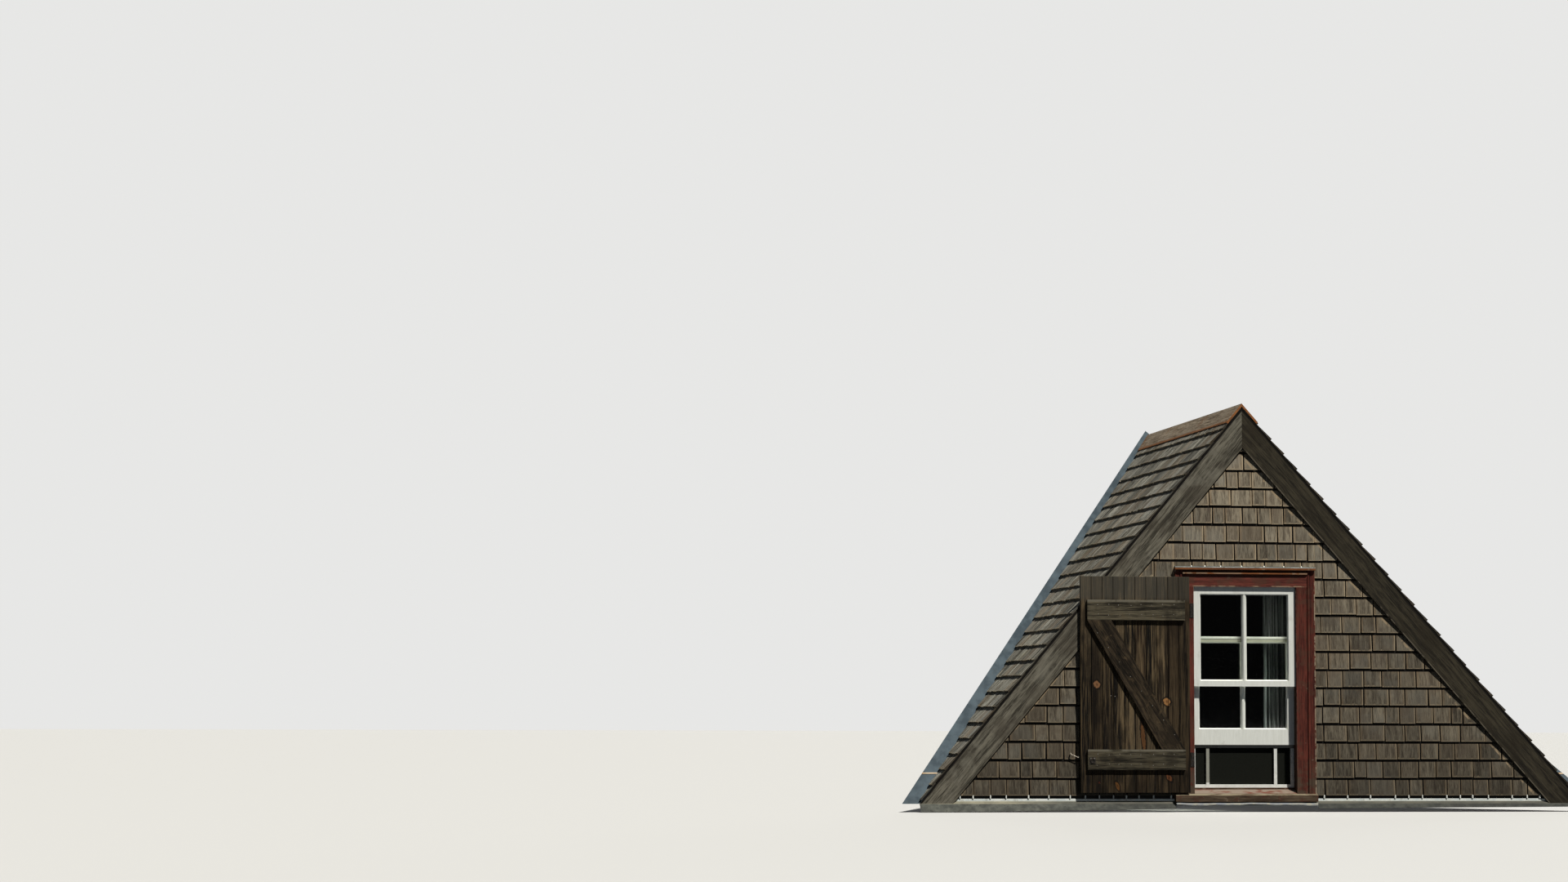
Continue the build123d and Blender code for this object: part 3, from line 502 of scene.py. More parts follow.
# painted shade: the right cap is given darker colours, as the sun meets it square on
capLooksRightShaded = {
    "left": {
        "dark": (0.13, 0.097, 0.064), "light": (0.48, 0.39, 0.28), "patch": (0.35, 0.295, 0.22),
        "second": (0.26, 0.13, 0.06),
    },
    "right": {
        "dark": (0.06, 0.043, 0.028), "light": (0.21, 0.165, 0.112), "patch": (0.15, 0.125, 0.09),
        "second": (0.13, 0.065, 0.03),
    },
}
capWood = {}
for side, slope in slopes.items():
    capWood[side] = mat = weatheredWood("ridgeCap_" + side, {
        **capLooksRightShaded[side], "patchSize": 0.3, "patchShare": 0.5, "secondSize": 0.2, "turn": intoHouse,
    })
    # rust along the lower edge and the front end
    turned = mat.turned(slopeTurn(slope))
    downSlope = Vector((slope["side"] * math.cos(slope["angle"]), 0, -math.sin(slope["angle"])))
    apexAlong = slope["side"] * Vector((0, 0, wallFoot + apexHeight)).dot(downSlope)
    away = mat.calc("ABSOLUTE", mat.less(mat.axis(turned, 0), apexAlong))
    front = mat.band(1, wallY - 0.2, wallY - 0.0285, 0.0012)
    rust = mat.most(mat.times(mat.ramp(away, 0.122, 0.136, smooth=True), 0.85), front)
    rusty = mat.mix(mat.patch(0.03, 0.4, 0.6, turned), (0.34, 0.135, 0.048), (0.2, 0.085, 0.034))
    mat.cover(rust, rusty)
redLook = {
    "dark": (0.046, 0.012, 0.009), "light": (0.138, 0.035, 0.023), "patch": (0.08, 0.038, 0.024),
    "patchSize": 0.07, "patchShare": 0.6, "second": (0.21, 0.135, 0.1), "secondSize": 0.03,
    "secondStart": 0.66, "secondFull": 0.73, "secondShare": 0.7, "depth": 0.0012, "roughness": 0.6,
}
redTrim = mat = weatheredWood("wornRedTrim", {**redLook, "turn": upright})
# the feet are worn to brown wood
mat.cover(mat.times(mat.heights(-1, 0.24, 0.1), mat.patch(0.08, 0.38, 0.55)), (0.078, 0.054, 0.036))
wearArrises(mat, (0.045, 0.46, 0.56), (0.012, 0.004, 0.003), 0.75, (0.3, 0.23, 0.16))
redTrimLevel = mat = weatheredWood("wornRedTrimLevel", {
    **redLook, "dark": (0.06, 0.017, 0.013), "light": (0.172, 0.046, 0.031), "turn": along,
})
mat.cover(mat.times(mat.heights(1.528, 1.536, 0.0015), mat.patch(0.05, 0.44, 0.56)), (0.3, 0.2, 0.13))
crownWood = weatheredWood("crownMoulding", {
    "dark": (0.1, 0.034, 0.012), "light": (0.285, 0.105, 0.038), "patch": (0.25, 0.17, 0.1),
    "patchSize": 0.05, "patchStart": 0.56, "patchFull": 0.66, "turn": along, "depth": 0.001,
    "roughness": 0.65,
})
wearArrises(crownWood, (0.08, 0.45, 0.55), (0.014, 0.006, 0.004), 0.8, (0.36, 0.27, 0.18))
darkTrim = weatheredWood("jambStain", {
    "dark": (0.02, 0.01, 0.007), "light": (0.055, 0.028, 0.02), "turn": upright, "depth": 0.001,
    "roughness": 0.65,
})
sillWood = mat = weatheredWood("wornSill", {
    "dark": (0.034, 0.02, 0.012), "light": (0.118, 0.084, 0.054), "patch": (0.075, 0.029, 0.019),
    "patchSize": 0.1, "patchStart": 0.5, "second": (0.24, 0.19, 0.13), "secondStart": 0.6,
    "secondFull": 0.7, "turn": along, "depth": 0.0015,
})
streak = mat.turned(scale=(0.35, 1.0, 1.0))
wornRed = mat.mix(mat.patch(0.05, 0.5, 0.64, streak), (0.235, 0.185, 0.14), (0.15, 0.052, 0.034))
bareFront = mat.mix(mat.patch(0.03, 0.42, 0.62, streak), (0.24, 0.205, 0.135), (0.11, 0.08, 0.052))
frontStrip = mat.band(1, wallY - 0.06, wallY - 0.022, 0.003)
darkLine = mat.times(mat.band(1, wallY - 0.023, wallY - 0.018, 0.001), 0.7)
wornTop = mat.mix(darkLine, mat.mix(frontStrip, wornRed, bareFront), (0.05, 0.03, 0.018))
mat.cover(mat.facesUp(0.4, 0.6), wornTop)
shutterWood = mat = weatheredWood("shutterBoards", {
    "dark": (0.0028, 0.0021, 0.0014), "light": (0.165, 0.118, 0.064), "patch": (0.046, 0.039, 0.029),
    "patchSize": 0.16, "patchShare": 0.22, "second": (0.008, 0.0065, 0.0045), "secondSize": 0.16,
    "secondStart": 0.48, "secondFull": 0.62, "secondShare": 0.62, "warm": (0.052, 0.032, 0.017),
    "warmShare": 0.3, "tones": True, "toneRange": (0.32, 1.2), "turn": upright, "scale": (1, 1, 0.5),
    "fineness": 0.8, "depth": 0.0025, "bump": 0.6, "spread": 0.06,
})
# knots in photo order: middle, half width, half height, lean and tint
knots = (
    ((-1.0581, 0.8406), 0.024, 0.029, -0.3, (0.3, 0.15, 0.07)),
    ((-0.5576, 0.7216), 0.03, 0.026, 0.9, (0.36, 0.18, 0.065)),
    ((-0.914, 0.1353), 0.013, 0.036, -0.35, (0.26, 0.12, 0.035)),
    ((-0.5459, 0.1923), 0.017, 0.03, -0.7, (0.28, 0.11, 0.045)),
    ((-1.043, 0.16), 0.008, 0.008, 0.0, (0.12, 0.035, 0.018)),
    ((-0.73, 0.475), 0.016, 0.105, -0.1, (0.105, 0.048, 0.018)),
)
for (x, height), halfWidth, halfHeight, lean, tint in knots:
    offset = mat.vector("SUBTRACT", mat.places, wallPoint(x, 0.051, height))[0]
    size = (halfWidth, 0.2, halfHeight)
    leaned = mat.node("Mapping", {"vector_type": "TEXTURE"}, Vector=offset, Rotation=(0, lean, 0), Scale=size)
    waver = mat.times(mat.less(mat.noise(mat.places, 60.0, 3.0), 0.5), 0.9)
    away = mat.plus(mat.vector("LENGTH", leaned.outputs[0])["Value"], waver)
    mat.cover(mat.ramp(away, 1.45, 1.1), (0.008, 0.006, 0.004))
    mat.cover(mat.ramp(away, 1.0, 0.75), tint)
    mat.cover(mat.ramp(away, 0.42, 0.2), (0.07, 0.025, 0.01), 0.6)
# greyer above the battens; painted shade darkens the feet, the side by the hinges and the lower part of the
# free edge
mat.cover(mat.heights(1.43, 2, 0.03), (0.082, 0.075, 0.058), 0.6)
hingeSide = mat.band(0, -0.56, 0.5, 0.05)
freeSide = mat.times(mat.band(0, -2, -0.88, 0.08), mat.heights(-1, 1.05, 0.1))
feet = mat.times(mat.heights(-1, 0.25, 0.05), 0.85)
shade = mat.most(feet, mat.times(mat.most(hingeSide, freeSide), 0.42))
mat.cover(shade, mat.mix(1.0, mat.color, (0.3, 0.28, 0.26), "MULTIPLY"))
battenWood = mat = weatheredWood("shutterBattens", {
    "dark": (0.01, 0.0085, 0.0055), "light": (0.115, 0.098, 0.063), "patch": (0.017, 0.014, 0.01),
    "patchShare": 0.55, "second": (0.09, 0.068, 0.038), "secondSize": 0.09, "secondStart": 0.56,
    "secondFull": 0.68, "secondShare": 0.5, "turn": along, "scale": (0.6, 1, 1), "spread": 0.07,
    "rise": (wallFoot + 0.3, wallFoot + 1.4, 0.8, 1.12),
})
# painted highlight: the upper arrises are pale, and so are the faces that look up
paintedTopHighlight = mat.most(mat.heights(1.415, 1.5, 0.006), mat.heights(0.376, 0.4, 0.005))
mat.cover(mat.times(paintedTopHighlight, mat.patch(0.14, 0.34, 0.52)), (0.175, 0.158, 0.118), 0.85)
mat.cover(mat.facesUp(0.3, 0.7), (0.115, 0.105, 0.075))
brace = {"drop": 0.9, "run": 0.552}
braceWood = weatheredWood("shutterBrace", {
    "dark": (0.005, 0.004, 0.0026), "light": (0.06, 0.043, 0.025), "patch": (0.011, 0.008, 0.0052),
    "second": (0.09, 0.062, 0.033), "secondSize": 0.06, "secondStart": 0.6, "secondFull": 0.68,
    "turn": (0, -math.atan2(brace["drop"], brace["run"]), 0), "spread": 0.075,
})
pineLook = {
    "dark": (0.11, 0.068, 0.038), "light": (0.29, 0.195, 0.115), "patch": (0.165, 0.118, 0.076),
    "patchSize": 0.5, "second": (0.085, 0.05, 0.028), "secondSize": 0.12, "secondStart": 0.64,
    "secondFull": 0.74, "depth": 0.001, "fineness": 0.7,
}
deckLook = {
    **pineLook, "turn": intoHouse, "joints": 0.14, "dark": (0.09, 0.058, 0.034),
    "light": (0.24, 0.165, 0.1),
}
pineUpright = weatheredWood("pineUpright", {**pineLook, "turn": upright})
pineLevel = weatheredWood("pineLevel", {**pineLook, "turn": along})
pineBack = weatheredWood("pineRidge", {**pineLook, "turn": intoHouse})
acrossWall = (math.radians(90), 0, 0)
sheathingWood = weatheredWood("wallBoards", {**deckLook, "turn": along, "jointTurn": acrossWall})
valleyTurn = math.radians(50)
pineSlope, pineValley, deckWood = {}, {}, {}
for side, slope in slopes.items():
    sign = slope["side"]
    alongValley = (-roofPitch, 0, sign * valleyTurn)
    pineSlope[side] = weatheredWood("pineRafter_" + side, {**pineLook, "turn": slopeTurn(slope)})
    pineValley[side] = weatheredWood("pineValley_" + side, {**pineLook, "turn": alongValley})
    deckWood[side] = weatheredWood("roofBoards_" + side, {
        **deckLook, "jointTurn": (0, -sign * slope["angle"], math.radians(90)),
    })

whitePaint = mat = Surface("whitePaint", 0.42, specular=0.4)
brushed = mat.group(woodFibre, Vector=mat.turned(upright), Fineness=1.4)
mat.paint(mat.mix(brushed["Streaks"], (0.75, 0.765, 0.695), (0.83, 0.845, 0.78)))
mat.cover(mat.patch(0.09, 0.55, 0.75), (0.42, 0.4, 0.33), 0.35)
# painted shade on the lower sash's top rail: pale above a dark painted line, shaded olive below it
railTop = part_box("sash_lower")[1][2]
inner = mat.band(1, wallY + 0.035, wallY + 1, 0.002)
railShade = mat.times(inner, mat.band(2, railTop - 0.0395, railTop - 0.017, 0.001))
line = mat.times(inner, mat.band(2, railTop - 0.021, railTop - 0.0155, 0.0008))
mat.cover(railShade, (0.36, 0.36, 0.26), 0.85)
mat.cover(line, (0.06, 0.06, 0.05), 0.85)
mat.bump(brushed["Height"], 0.25, 0.0006)

plainMetal = {
    "roughness": 0.5, "metallic": 0.3, "streak": (1, 1, 1), "size": 0.08, "spotSize": 0.03, "spots": 0.5,
}


def sheetMetal(name, look):
    look = {**plainMetal, **look}
    rough = look["roughness"]
    mat = Surface(name, rough, look["metallic"], 0.4)
    mottle = mat.patch(look["size"], 0.35, 0.7, mat.turned(scale=look["streak"]))
    mat.paint(mat.mix(mottle, look["dark"], look["light"]))
    mat.cover(mat.patch(look["spotSize"], 0.55, 0.68), look["spot"], look["spots"])
    mat.put(mat.ramp(mottle, 0, 1, rough - 0.1, rough + 0.12), mat.sockets["Roughness"])
    mat.bump(mottle, 0.3, 0.0015)
    return mat


valleyMetal = mat = sheetMetal("valleyMetal", {
    "dark": (0.026, 0.043, 0.055), "light": (0.05, 0.076, 0.092), "spot": (0.05, 0.06, 0.058),
    "spots": 0.3, "streak": (1, 1, 0.3), "size": 0.1,
})
# the lap near the foot: a thin rusty strip with a dark line under it
lapTint = mat.mix(mat.patch(0.05, 0.4, 0.6), (0.33, 0.2, 0.085), (0.42, 0.33, 0.22))
mat.cover(mat.heights(0.217, 0.226, 0.0015), lapTint)
mat.cover(mat.heights(0.212, 0.217, 0.001), (0.012, 0.01, 0.01))
apronMetal = mat = sheetMetal("apronMetal", {
    "dark": (0.05, 0.053, 0.046), "light": (0.112, 0.116, 0.098), "spot": (0.026, 0.025, 0.02),
    "spots": 0.6, "spotSize": 0.035, "size": 0.06, "roughness": 0.7, "metallic": 0.0,
})
mat.sockets["Specular IOR Level"].default_value = 0.1
# the left part is paler, with a tan strip on the bend
across = mat.axis(mat.places, 0)
mat.cover(mat.ramp(across, -1.4, -0.6, 0.0, 0.42), (0.01, 0.011, 0.01))
patchy = mat.patch(0.06, 0.36, 0.62, mat.turned(scale=(0.4, 1.0, 1.0)))
bendTint = mat.mix(mat.ramp(across, -1.8, -1.25), (0.36, 0.33, 0.23), (0.105, 0.1, 0.078))
bend = mat.times(mat.heights(0.013, 0.032, 0.004), mat.plus(0.45, mat.times(patchy, 0.55)))
mat.cover(bend, bendTint)
mat.cover(mat.heights(0.03, 1, 0.002), (0.4, 0.41, 0.34))
# painted shade: dark by the lowest butts, and a little darker behind the open shutter
shutterShade = mat.times(mat.band(0, -1.1, -0.55, 0.12), mat.heights(0.022, 1, 0.002))
shaded = mat.most(mat.times(shutterShade, 0.35), mat.heights(0.0472, 1, 0.001))
mat.cover(shaded, (0.005, 0.005, 0.005))
hemMetal = sheetMetal("hemMetal", {
    "dark": (0.58, 0.64, 0.63), "light": (0.78, 0.8, 0.74), "spot": (0.3, 0.27, 0.19), "spots": 0.4,
    "size": 0.05, "spotSize": 0.04, "roughness": 0.55, "metallic": 0.05,
})
dripMetal = sheetMetal("dripMetal", {
    "dark": (0.3, 0.33, 0.36), "light": (0.52, 0.5, 0.38), "spot": (0.2, 0.15, 0.09), "spots": 0.4,
    "size": 0.05, "roughness": 0.55, "metallic": 0.1,
})
headMetal = sheetMetal("headMetal", {
    "dark": (0.36, 0.37, 0.34), "light": (0.6, 0.61, 0.57), "spot": (0.16, 0.13, 0.09),
})

glassPane = mat = Surface("windowGlass", 0.02, specular=0.5)
mat.sockets["Transmission Weight"].default_value = 1.0
mat.sockets["IOR"].default_value = 1.45
mat.paint(mat.mix(mat.patch(0.35, 0.4, 0.75), (0.78, 0.8, 0.78), (0.66, 0.69, 0.67)))
mat.bump(mat.noise(mat.places, 5.0, 1.0), 0.08, 0.004)
# the sun's rays go on through a pane
clearPane = mat.node("BsdfTransparent", Color=(0.8, 0.82, 0.8)).outputs[0]
shadowRay = mat.node("LightPath").outputs["Is Shadow Ray"]
either = mat.numbered("MixShader", {}, enumerate((shadowRay, mat.shader.outputs[0], clearPane)))[0]
mat.put(either, mat.tree.nodes["Material Output"].inputs["Surface"])

meshCloth = mat = Surface("insectMesh", 0.9, specular=0.02)
mat.material.surface_render_method = "BLENDED"
weave = mat.noise(mat.places, 260.0, 2.0)
mat.paint(mat.mix(weave, (0.006, 0.0065, 0.0055), (0.017, 0.018, 0.014)))
mat.put(mat.ramp(weave, 0.3, 0.7, 0.988, 0.996), mat.sockets["Alpha"])

whiteMetal = mat = sheetMetal("whiteScreenBars", {
    "dark": (0.7, 0.71, 0.66), "light": (0.84, 0.85, 0.8), "spot": (0.42, 0.39, 0.32), "spots": 0.3,
    "roughness": 0.4, "metallic": 0.0,
})
# the left upright is given a darker grey, and the top bar is painted shade
leftUprightDarker = mat.times(mat.band(0, -0.29, -0.17, 0.002), mat.heights(0.158, 1, 0.001))
mat.cover(leftUprightDarker, (0.22, 0.22, 0.17), 0.85)
topBarShade = mat.times(mat.heights(0.398, 1, 0.001), mat.band(1, wallY - 1, wallY + 0.1, 0.002))
mat.cover(topBarShade, (0.03, 0.03, 0.03), 0.9)
blackIron = sheetMetal("blackIron", {
    "dark": (0.012, 0.011, 0.01), "light": (0.035, 0.03, 0.026), "spot": (0.1, 0.045, 0.022),
    "spots": 0.6, "size": 0.02, "spotSize": 0.008, "roughness": 0.55, "metallic": 0.6,
})
hookWire = sheetMetal("hookWire", {
    "dark": (0.4, 0.35, 0.27), "light": (0.62, 0.58, 0.5), "spot": (0.3, 0.19, 0.11), "size": 0.015,
    "spotSize": 0.006, "roughness": 0.4, "metallic": 0.4,
})
nailSteel = sheetMetal("nailHeads", {
    "dark": (0.14, 0.13, 0.11), "light": (0.3, 0.28, 0.24), "spot": (0.12, 0.06, 0.03), "size": 0.01,
    "spotSize": 0.005, "metallic": 0.5,
})

curtainCloth = mat = Surface("curtainCloth", 0.9, specular=0.1)
share = mat.coordinates["UV"]
threads = mat.noise(mat.turned(scale=(520, 40, 1), places=share), 1.0, 2.0)
# painted shade: the cloth's colours are kept dark for the dim room, and striped darker and lighter down the
# folds
folds = mat.noise(mat.turned(scale=(17, 0.7, 1), places=share), 1.0, 1.0)
folds = mat.ramp(folds, 0.4, 0.62, smooth=True)
mat.paint(mat.mix(folds, (0.026, 0.032, 0.03), (0.16, 0.178, 0.172)))
mat.cover(threads, (0.1, 0.115, 0.12), 0.3)
# painted light: a pale strip down the turned left edge of the lower part
litStripReach = mat.ramp(mat.axis(share, 1), 0.72, 0.6, smooth=True)
mat.cover(mat.times(mat.band(0, 0.03, 0.13, 0.02, share), litStripReach), (0.52, 0.58, 0.58))
mat.sockets["Sheen Weight"].default_value = 0.2
mat.bump(threads, 0.3, 0.0005)

print("stage: dressing the frame")
for side in slopes:
    for wood, node in (
        (rakeWood, "rake_board_"), (capWood, "ridge_cap_"), (pineSlope, "rafters_"), (deckWood, "roof_deck_"),
        (pineValley, "valley_board_"),
    ):
        dress(wood[side], node + side)
    dress(valleyMetal, "valley_flashing_" + side)
dress(pineLevel, "bottom_plate", "window_header")
dress(pineUpright, "studs_left", "studs_right", "gable_studs")
dress(pineBack, "ridge_board")
dress(sheathingWood, *("wall_sheathing_" + part for part in ("left", "right", "top", "sill")))
dress(apronMetal, "apron_flashing")
dress(headMetal, "head_flashing")
dress(redTrim, "casing_left", "casing_right")
dress(redTrimLevel, "head_casing")
dress(crownWood, "head_moulding")
dress(darkTrim, "jamb_left", "jamb_right", "head_jamb")
dress(sillWood, "window_sill")
dress(whitePaint, "sash_upper", "sash_lower")
dress(glassPane, "glass_upper", "glass_lower")
dress(whiteMetal, "screen_frame", "curtain_rod")
dress(meshCloth, "screen_mesh")
dress(battenWood, "shutter_battens")
dress(braceWood, "shutter_brace")
dress(blackIron, "hinge_pins", "hinge_leaves", "shutter_eye")
dress(hookWire, "shutter_hook")

print("stage: roof shingles")
roofShingle = {
    "exposure": 0.1415, "firstButt": 0.027, "butt": 0.02, "thin": 0.008, "lap": 0.03, "front": -0.028,
    "narrow": 0.07, "wide": 0.16, "joint": 0.0075, "jointShare": (0.5, 1.2), "valleyLift": 0.048,
    "rise": (-0.0012, 0.0018), "drop": (-0.004, 0.003), "skew": (-0.0015, 0.0015), "ridgeGap": 0.0005,
    "headLess": 0.0025, "bedLess": 0.0015, "seat": 0.001, "highest": 0.004, "lastButt": 0.05, "spare": 0.05,
}
roofFelt = {
    "top": 0.002, "short": 0.01, "foot": 0.0012, "thick": 0.0062, "front": 0.01, "deep": apexHeight + 0.3,
}


firstShare = (0.4, 1.0)  # the first of a course is cut narrower


def shingleWidth(look, first):
    return random.uniform(look["narrow"], look["wide"]) * (random.uniform(*firstShare) if first else 1.0)


def roofPlace(slope, back, end, top, butt, rise, drop, skew):
    look = roofShingle

    def place(u, v, w):
        # u up the slope, v into the house, w off the boarding
        tilt = skew if v else -skew
        down = butt + drop + tilt if u < 0.5 else top
        if w > 0.5:
            lift = look["butt"] + rise + tilt if u < 0.5 else look["thin"] - look["headLess"]
        else:
            lift = look["thin"] - look["bedLess"] if u < 0.5 else look["seat"]
        return slopePoint(slope, down, lift, end if v > 0.5 else back)

    return place


for side, slope in slopes.items():
    look = roofShingle
    bm = newMesh()
    length = apexHeight / math.sin(slope["angle"])
    butt = length - look["firstButt"]
    while butt > look["lastButt"]:
        top = max(butt - look["exposure"] - look["lap"], look["highest"])
        surface = slopePoint(slope, top, look["thin"], 0).z
        backEnd = surface - look["valleyLift"] / roofNormal.z - wallY + look["spare"]
        back = look["front"]
        while back < backEnd:
            width = shingleWidth(look, back == look["front"])
            rise, drop, skew = (random.uniform(*look[key]) for key in ("rise", "drop", "skew"))
            end = back + width - look["joint"] * random.uniform(*look["jointShare"])
            place = roofPlace(slope, back, end, top, butt, rise, drop, skew)
            addBlock(bm, place, random.random(), across=1, up=0)
            back += width
        butt -= look["exposure"]

    def underlay(u, v, w):
        down = roofFelt["top"] + u * (length - roofFelt["short"])
        lift = roofFelt["foot"] + roofFelt["thick"] * w
        return slopePoint(slope, down, lift, roofShingle["front"] + roofFelt["front"] + v * roofFelt["deep"])

    addBlock(bm, underlay, 0.0, 1)
    trim(bm, roofNormal * look["valleyLift"], roofNormal)
    # nothing crosses the ridge
    trim(bm, Vector((slope["side"] * look["ridgeGap"], 0, 0)), Vector((slope["side"], 0, 0)))
    stands = ["roof_shingles_" + side]
    finishPiece(bm, "roofShingles_" + side, [roofWood[side], felt], stands=stands)

print("stage: wall shingles")
wallShingle = {
    "exposure": 0.127, "firstButt": 0.068, "butt": 0.013, "thin": 0.004, "lap": 0.024, "narrow": 0.085,
    "wide": 0.185, "joint": 0.0095, "jointShare": (0.6, 1.3), "rise": (-0.001, 0.0015),
    "drop": (-0.003, 0.003), "lean": 0.002, "headLess": 0.002, "bedLess": 0.001, "seat": 0.001,
    "edgeGap": 0.0005, "lastButt": 2.5, "feltTop": 2.6,
}
casingGap = 0.0015
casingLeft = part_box("casing_left")[0][0] - casingGap
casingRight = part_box("casing_right")[1][0] + casingGap
headFlashing = {"upstand": 0.05, "clear": 0.006}
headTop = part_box("head_flashing")[1][2] - headFlashing["upstand"] + headFlashing["clear"] - wallFoot
wallPanels = {
    "left": {"x": (-2.2, casingLeft), "foot": wallShingle["firstButt"], "edges": ["left"]},
    "right": {"x": (casingRight, 2.35), "foot": wallShingle["firstButt"], "edges": ["right"]},
    "top": {"x": (casingLeft, casingRight), "foot": headTop, "edges": ["left", "right"]},
}


def wallPlace(x, end, butt, rise, drop, leans):
    look = wallShingle

    def place(u, v, w):
        # u across, v outwards, w up
        height = butt + look["exposure"] + look["lap"] if w > 0.5 else butt + drop
        if v > 0.5:
            out = look["thin"] - look["headLess"] if w > 0.5 else look["butt"] + rise
        else:
            out = look["seat"] if w > 0.5 else look["thin"] - look["bedLess"]
        shift = leans[1 if u > 0.5 else 0] * (1 if w > 0.5 else -1)
        return wallPoint((end if u > 0.5 else x) + shift, out, height)

    return place


jointPlaces = []
for panelName, panel in wallPanels.items():
    look = wallShingle
    lean = look["lean"]
    bm = newMesh()
    x0, x1 = panel["x"]
    butt = look["firstButt"]
    while butt < look["lastButt"]:
        if butt + look["exposure"] + look["lap"] < panel["foot"]:
            butt += look["exposure"]
            continue
        # a course keeps within the rakes, so no shingle is made outside them
        reach = {side: (apexHeight - butt) / math.tan(slope["angle"]) for side, slope in slopes.items()}
        start = max(x0, -reach["left"])
        stop = min(x1, reach["right"])
        x = start + look["edgeGap"]
        lowest = butt <= panel["foot"] < butt + look["exposure"] or butt == look["firstButt"]
        while x < stop:
            first = x < start + 2 * look["edgeGap"]
            width = shingleWidth(look, first)
            end = min(x + width - look["joint"] * random.uniform(*look["jointShare"]), stop)
            rise = random.uniform(*look["rise"])
            drop = random.uniform(*look["drop"])
            leans = tuple(0 if atEdge else random.uniform(-lean, lean) for atEdge in (first, end >= stop))
            addBlock(bm, wallPlace(x, end, butt, rise, drop, leans), random.random())
            if lowest and end < stop:
                jointPlaces.append((end, max(butt, panel["foot"])))
            x += width
        butt += look["exposure"]
    addWallBoard(bm, x0, x1, *feltOut, panel["foot"], look["feltTop"], 0.0, 1)
    for side in panel["edges"]:
        trimRake(bm, side)
    trim(bm, wallPoint(0, 0, panel["foot"]), Vector((0, 0, 1)))
    stands = ["wall_shingles_" + panelName]
    finishPiece(bm, "wallShingles_" + panelName, [wallWood, felt], stands=stands)

print("stage: clips and nails")
clip = {
    "left": -2.05, "right": 2.2, "narrow": 0.006, "wide": 0.009, "out": 0.014, "headOut": 0.012,
    "below": 0.019, "above": 0.004, "back": 0.001, "headFrom": 0.2, "soft": 0.0008,
}
bm = newMesh()
for x, height in jointPlaces:
    if clip["left"] < x < clip["right"]:
        half = random.uniform(clip["narrow"], clip["wide"]) / 2
        out = clip["out"] if height < clip["headFrom"] else clip["headOut"]
        low, high = height - clip["below"], height + clip["above"]
        addWallBoard(bm, x - half, x + half + 0.001, clip["back"], out, low, high)
softenEdges(bm, clip["soft"])
finishPiece(bm, "flashingClips", [whitePaint])

print("stage: casings and crown")
window = {
    "middle": 0.014, "half": 0.3685, "top": 1.529, "head": 1.612, "bandTop": 0.033, "beadReach": 0.081,
    "capReach": 0.138, "sillOut": 0.05, "sillFront": 0.07, "sillSlope": 0.4, "sillGap": 0.0004,
}
# across the casing from the opening, out from the wall, and how worn the face after each point is; low wear
# also darkens it, partly as painted shade
flatProfile = (
    (0, 0, 0.5), (0, 0.0185, 0.95), (0.0015, 0.02, 0.5), (0.078, 0.02, 0.2), (0.08, 0.0175, 0.0),
    (0.08, 0, 0.5),
)
bandProfile = (
    (0.08, 0, 0.0), (0.08, 0.0175, 0.0), (0.0825, 0.0235, 0.5), (0.086, 0.026, 0.5), (0.095, 0.026, 0.45),
    (0.099, 0.0235, 0.1), (0.1025, 0.0215, 0.25), (0.106, 0.022, 0.5), (0.127, 0.0245, 0.65),
    (0.131, 0.0258, 1.0), (0.1345, 0.0245, 1.0), (0.138, 0.0205, 0.7), (0.138, 0, 0.5),
)
# height over the crown's foot, out from the wall, wear; low wear also darkens a face, partly as painted shade
beadProfile = (
    (0, 0, 0.1), (0, 0.02, 0.05), (0.002, 0.026, 0.2), (0.006, 0.033, 0.75), (0.016, 0.033, 0.9),
    (0.019, 0.028, 0.2), (0.021, 0.024, 0.0), (0.025, 0.022, 0.0), (0.0335, 0.022, 0.0), (0.0335, 0, 0.0),
)
capProfile = (
    (0.0335, 0, 0.0), (0.0335, 0.041, 0.85), (0.0355, 0.044, 0.5), (0.05, 0.044, 0.95),
    (0.0535, 0.0432, 0.6), (0.054, 0, 0.5),
)


def addMoulding(bm, profile, start, end):
    # start and end give a profile point's place at the two ends
    tones = bm.faces.layers.float["tone"]
    foot = [bm.verts.new(start(a, b)) for a, b, wear in profile]
    base = bm.faces.new(foot)
    base[tones] = 0.4
    grown = bmesh.ops.extrude_face_region(bm, geom=[base])["geom"]
    grown = {g for g in grown if isinstance(g, bmesh.types.BMVert)}
    for vert, (a, b, wear) in zip(foot, profile):
        far = next(e.other_vert(vert) for e in vert.link_edges if e.other_vert(vert) in grown)
        far.co = end(a, b)
    for index, (a, b, wear) in enumerate(profile):
        edge = bm.edges.get((foot[index], foot[(index + 1) % len(foot)]))
        for face in edge.link_faces:
            if len(face.verts) == 4:
                face[tones] = wear


def sillHeight(out):
    return window["sillFront"] + window["sillSlope"] * (window["sillOut"] - out) + window["sillGap"]


def addUpright(bm, profile, side, top):
    def at(a, b, height):
        return wallPoint(window["middle"] + side * (window["half"] + a), b, height)

    addMoulding(bm, profile, lambda a, b: at(a, b, sillHeight(b)), lambda a, b: at(a, b, top))


def addLevel(bm, profile, reach):
    def at(side, a, b):
        return wallPoint(window["middle"] + side * reach, b, window["head"] + a)

    addMoulding(bm, profile, lambda a, b: at(-1, a, b), lambda a, b: at(1, a, b))


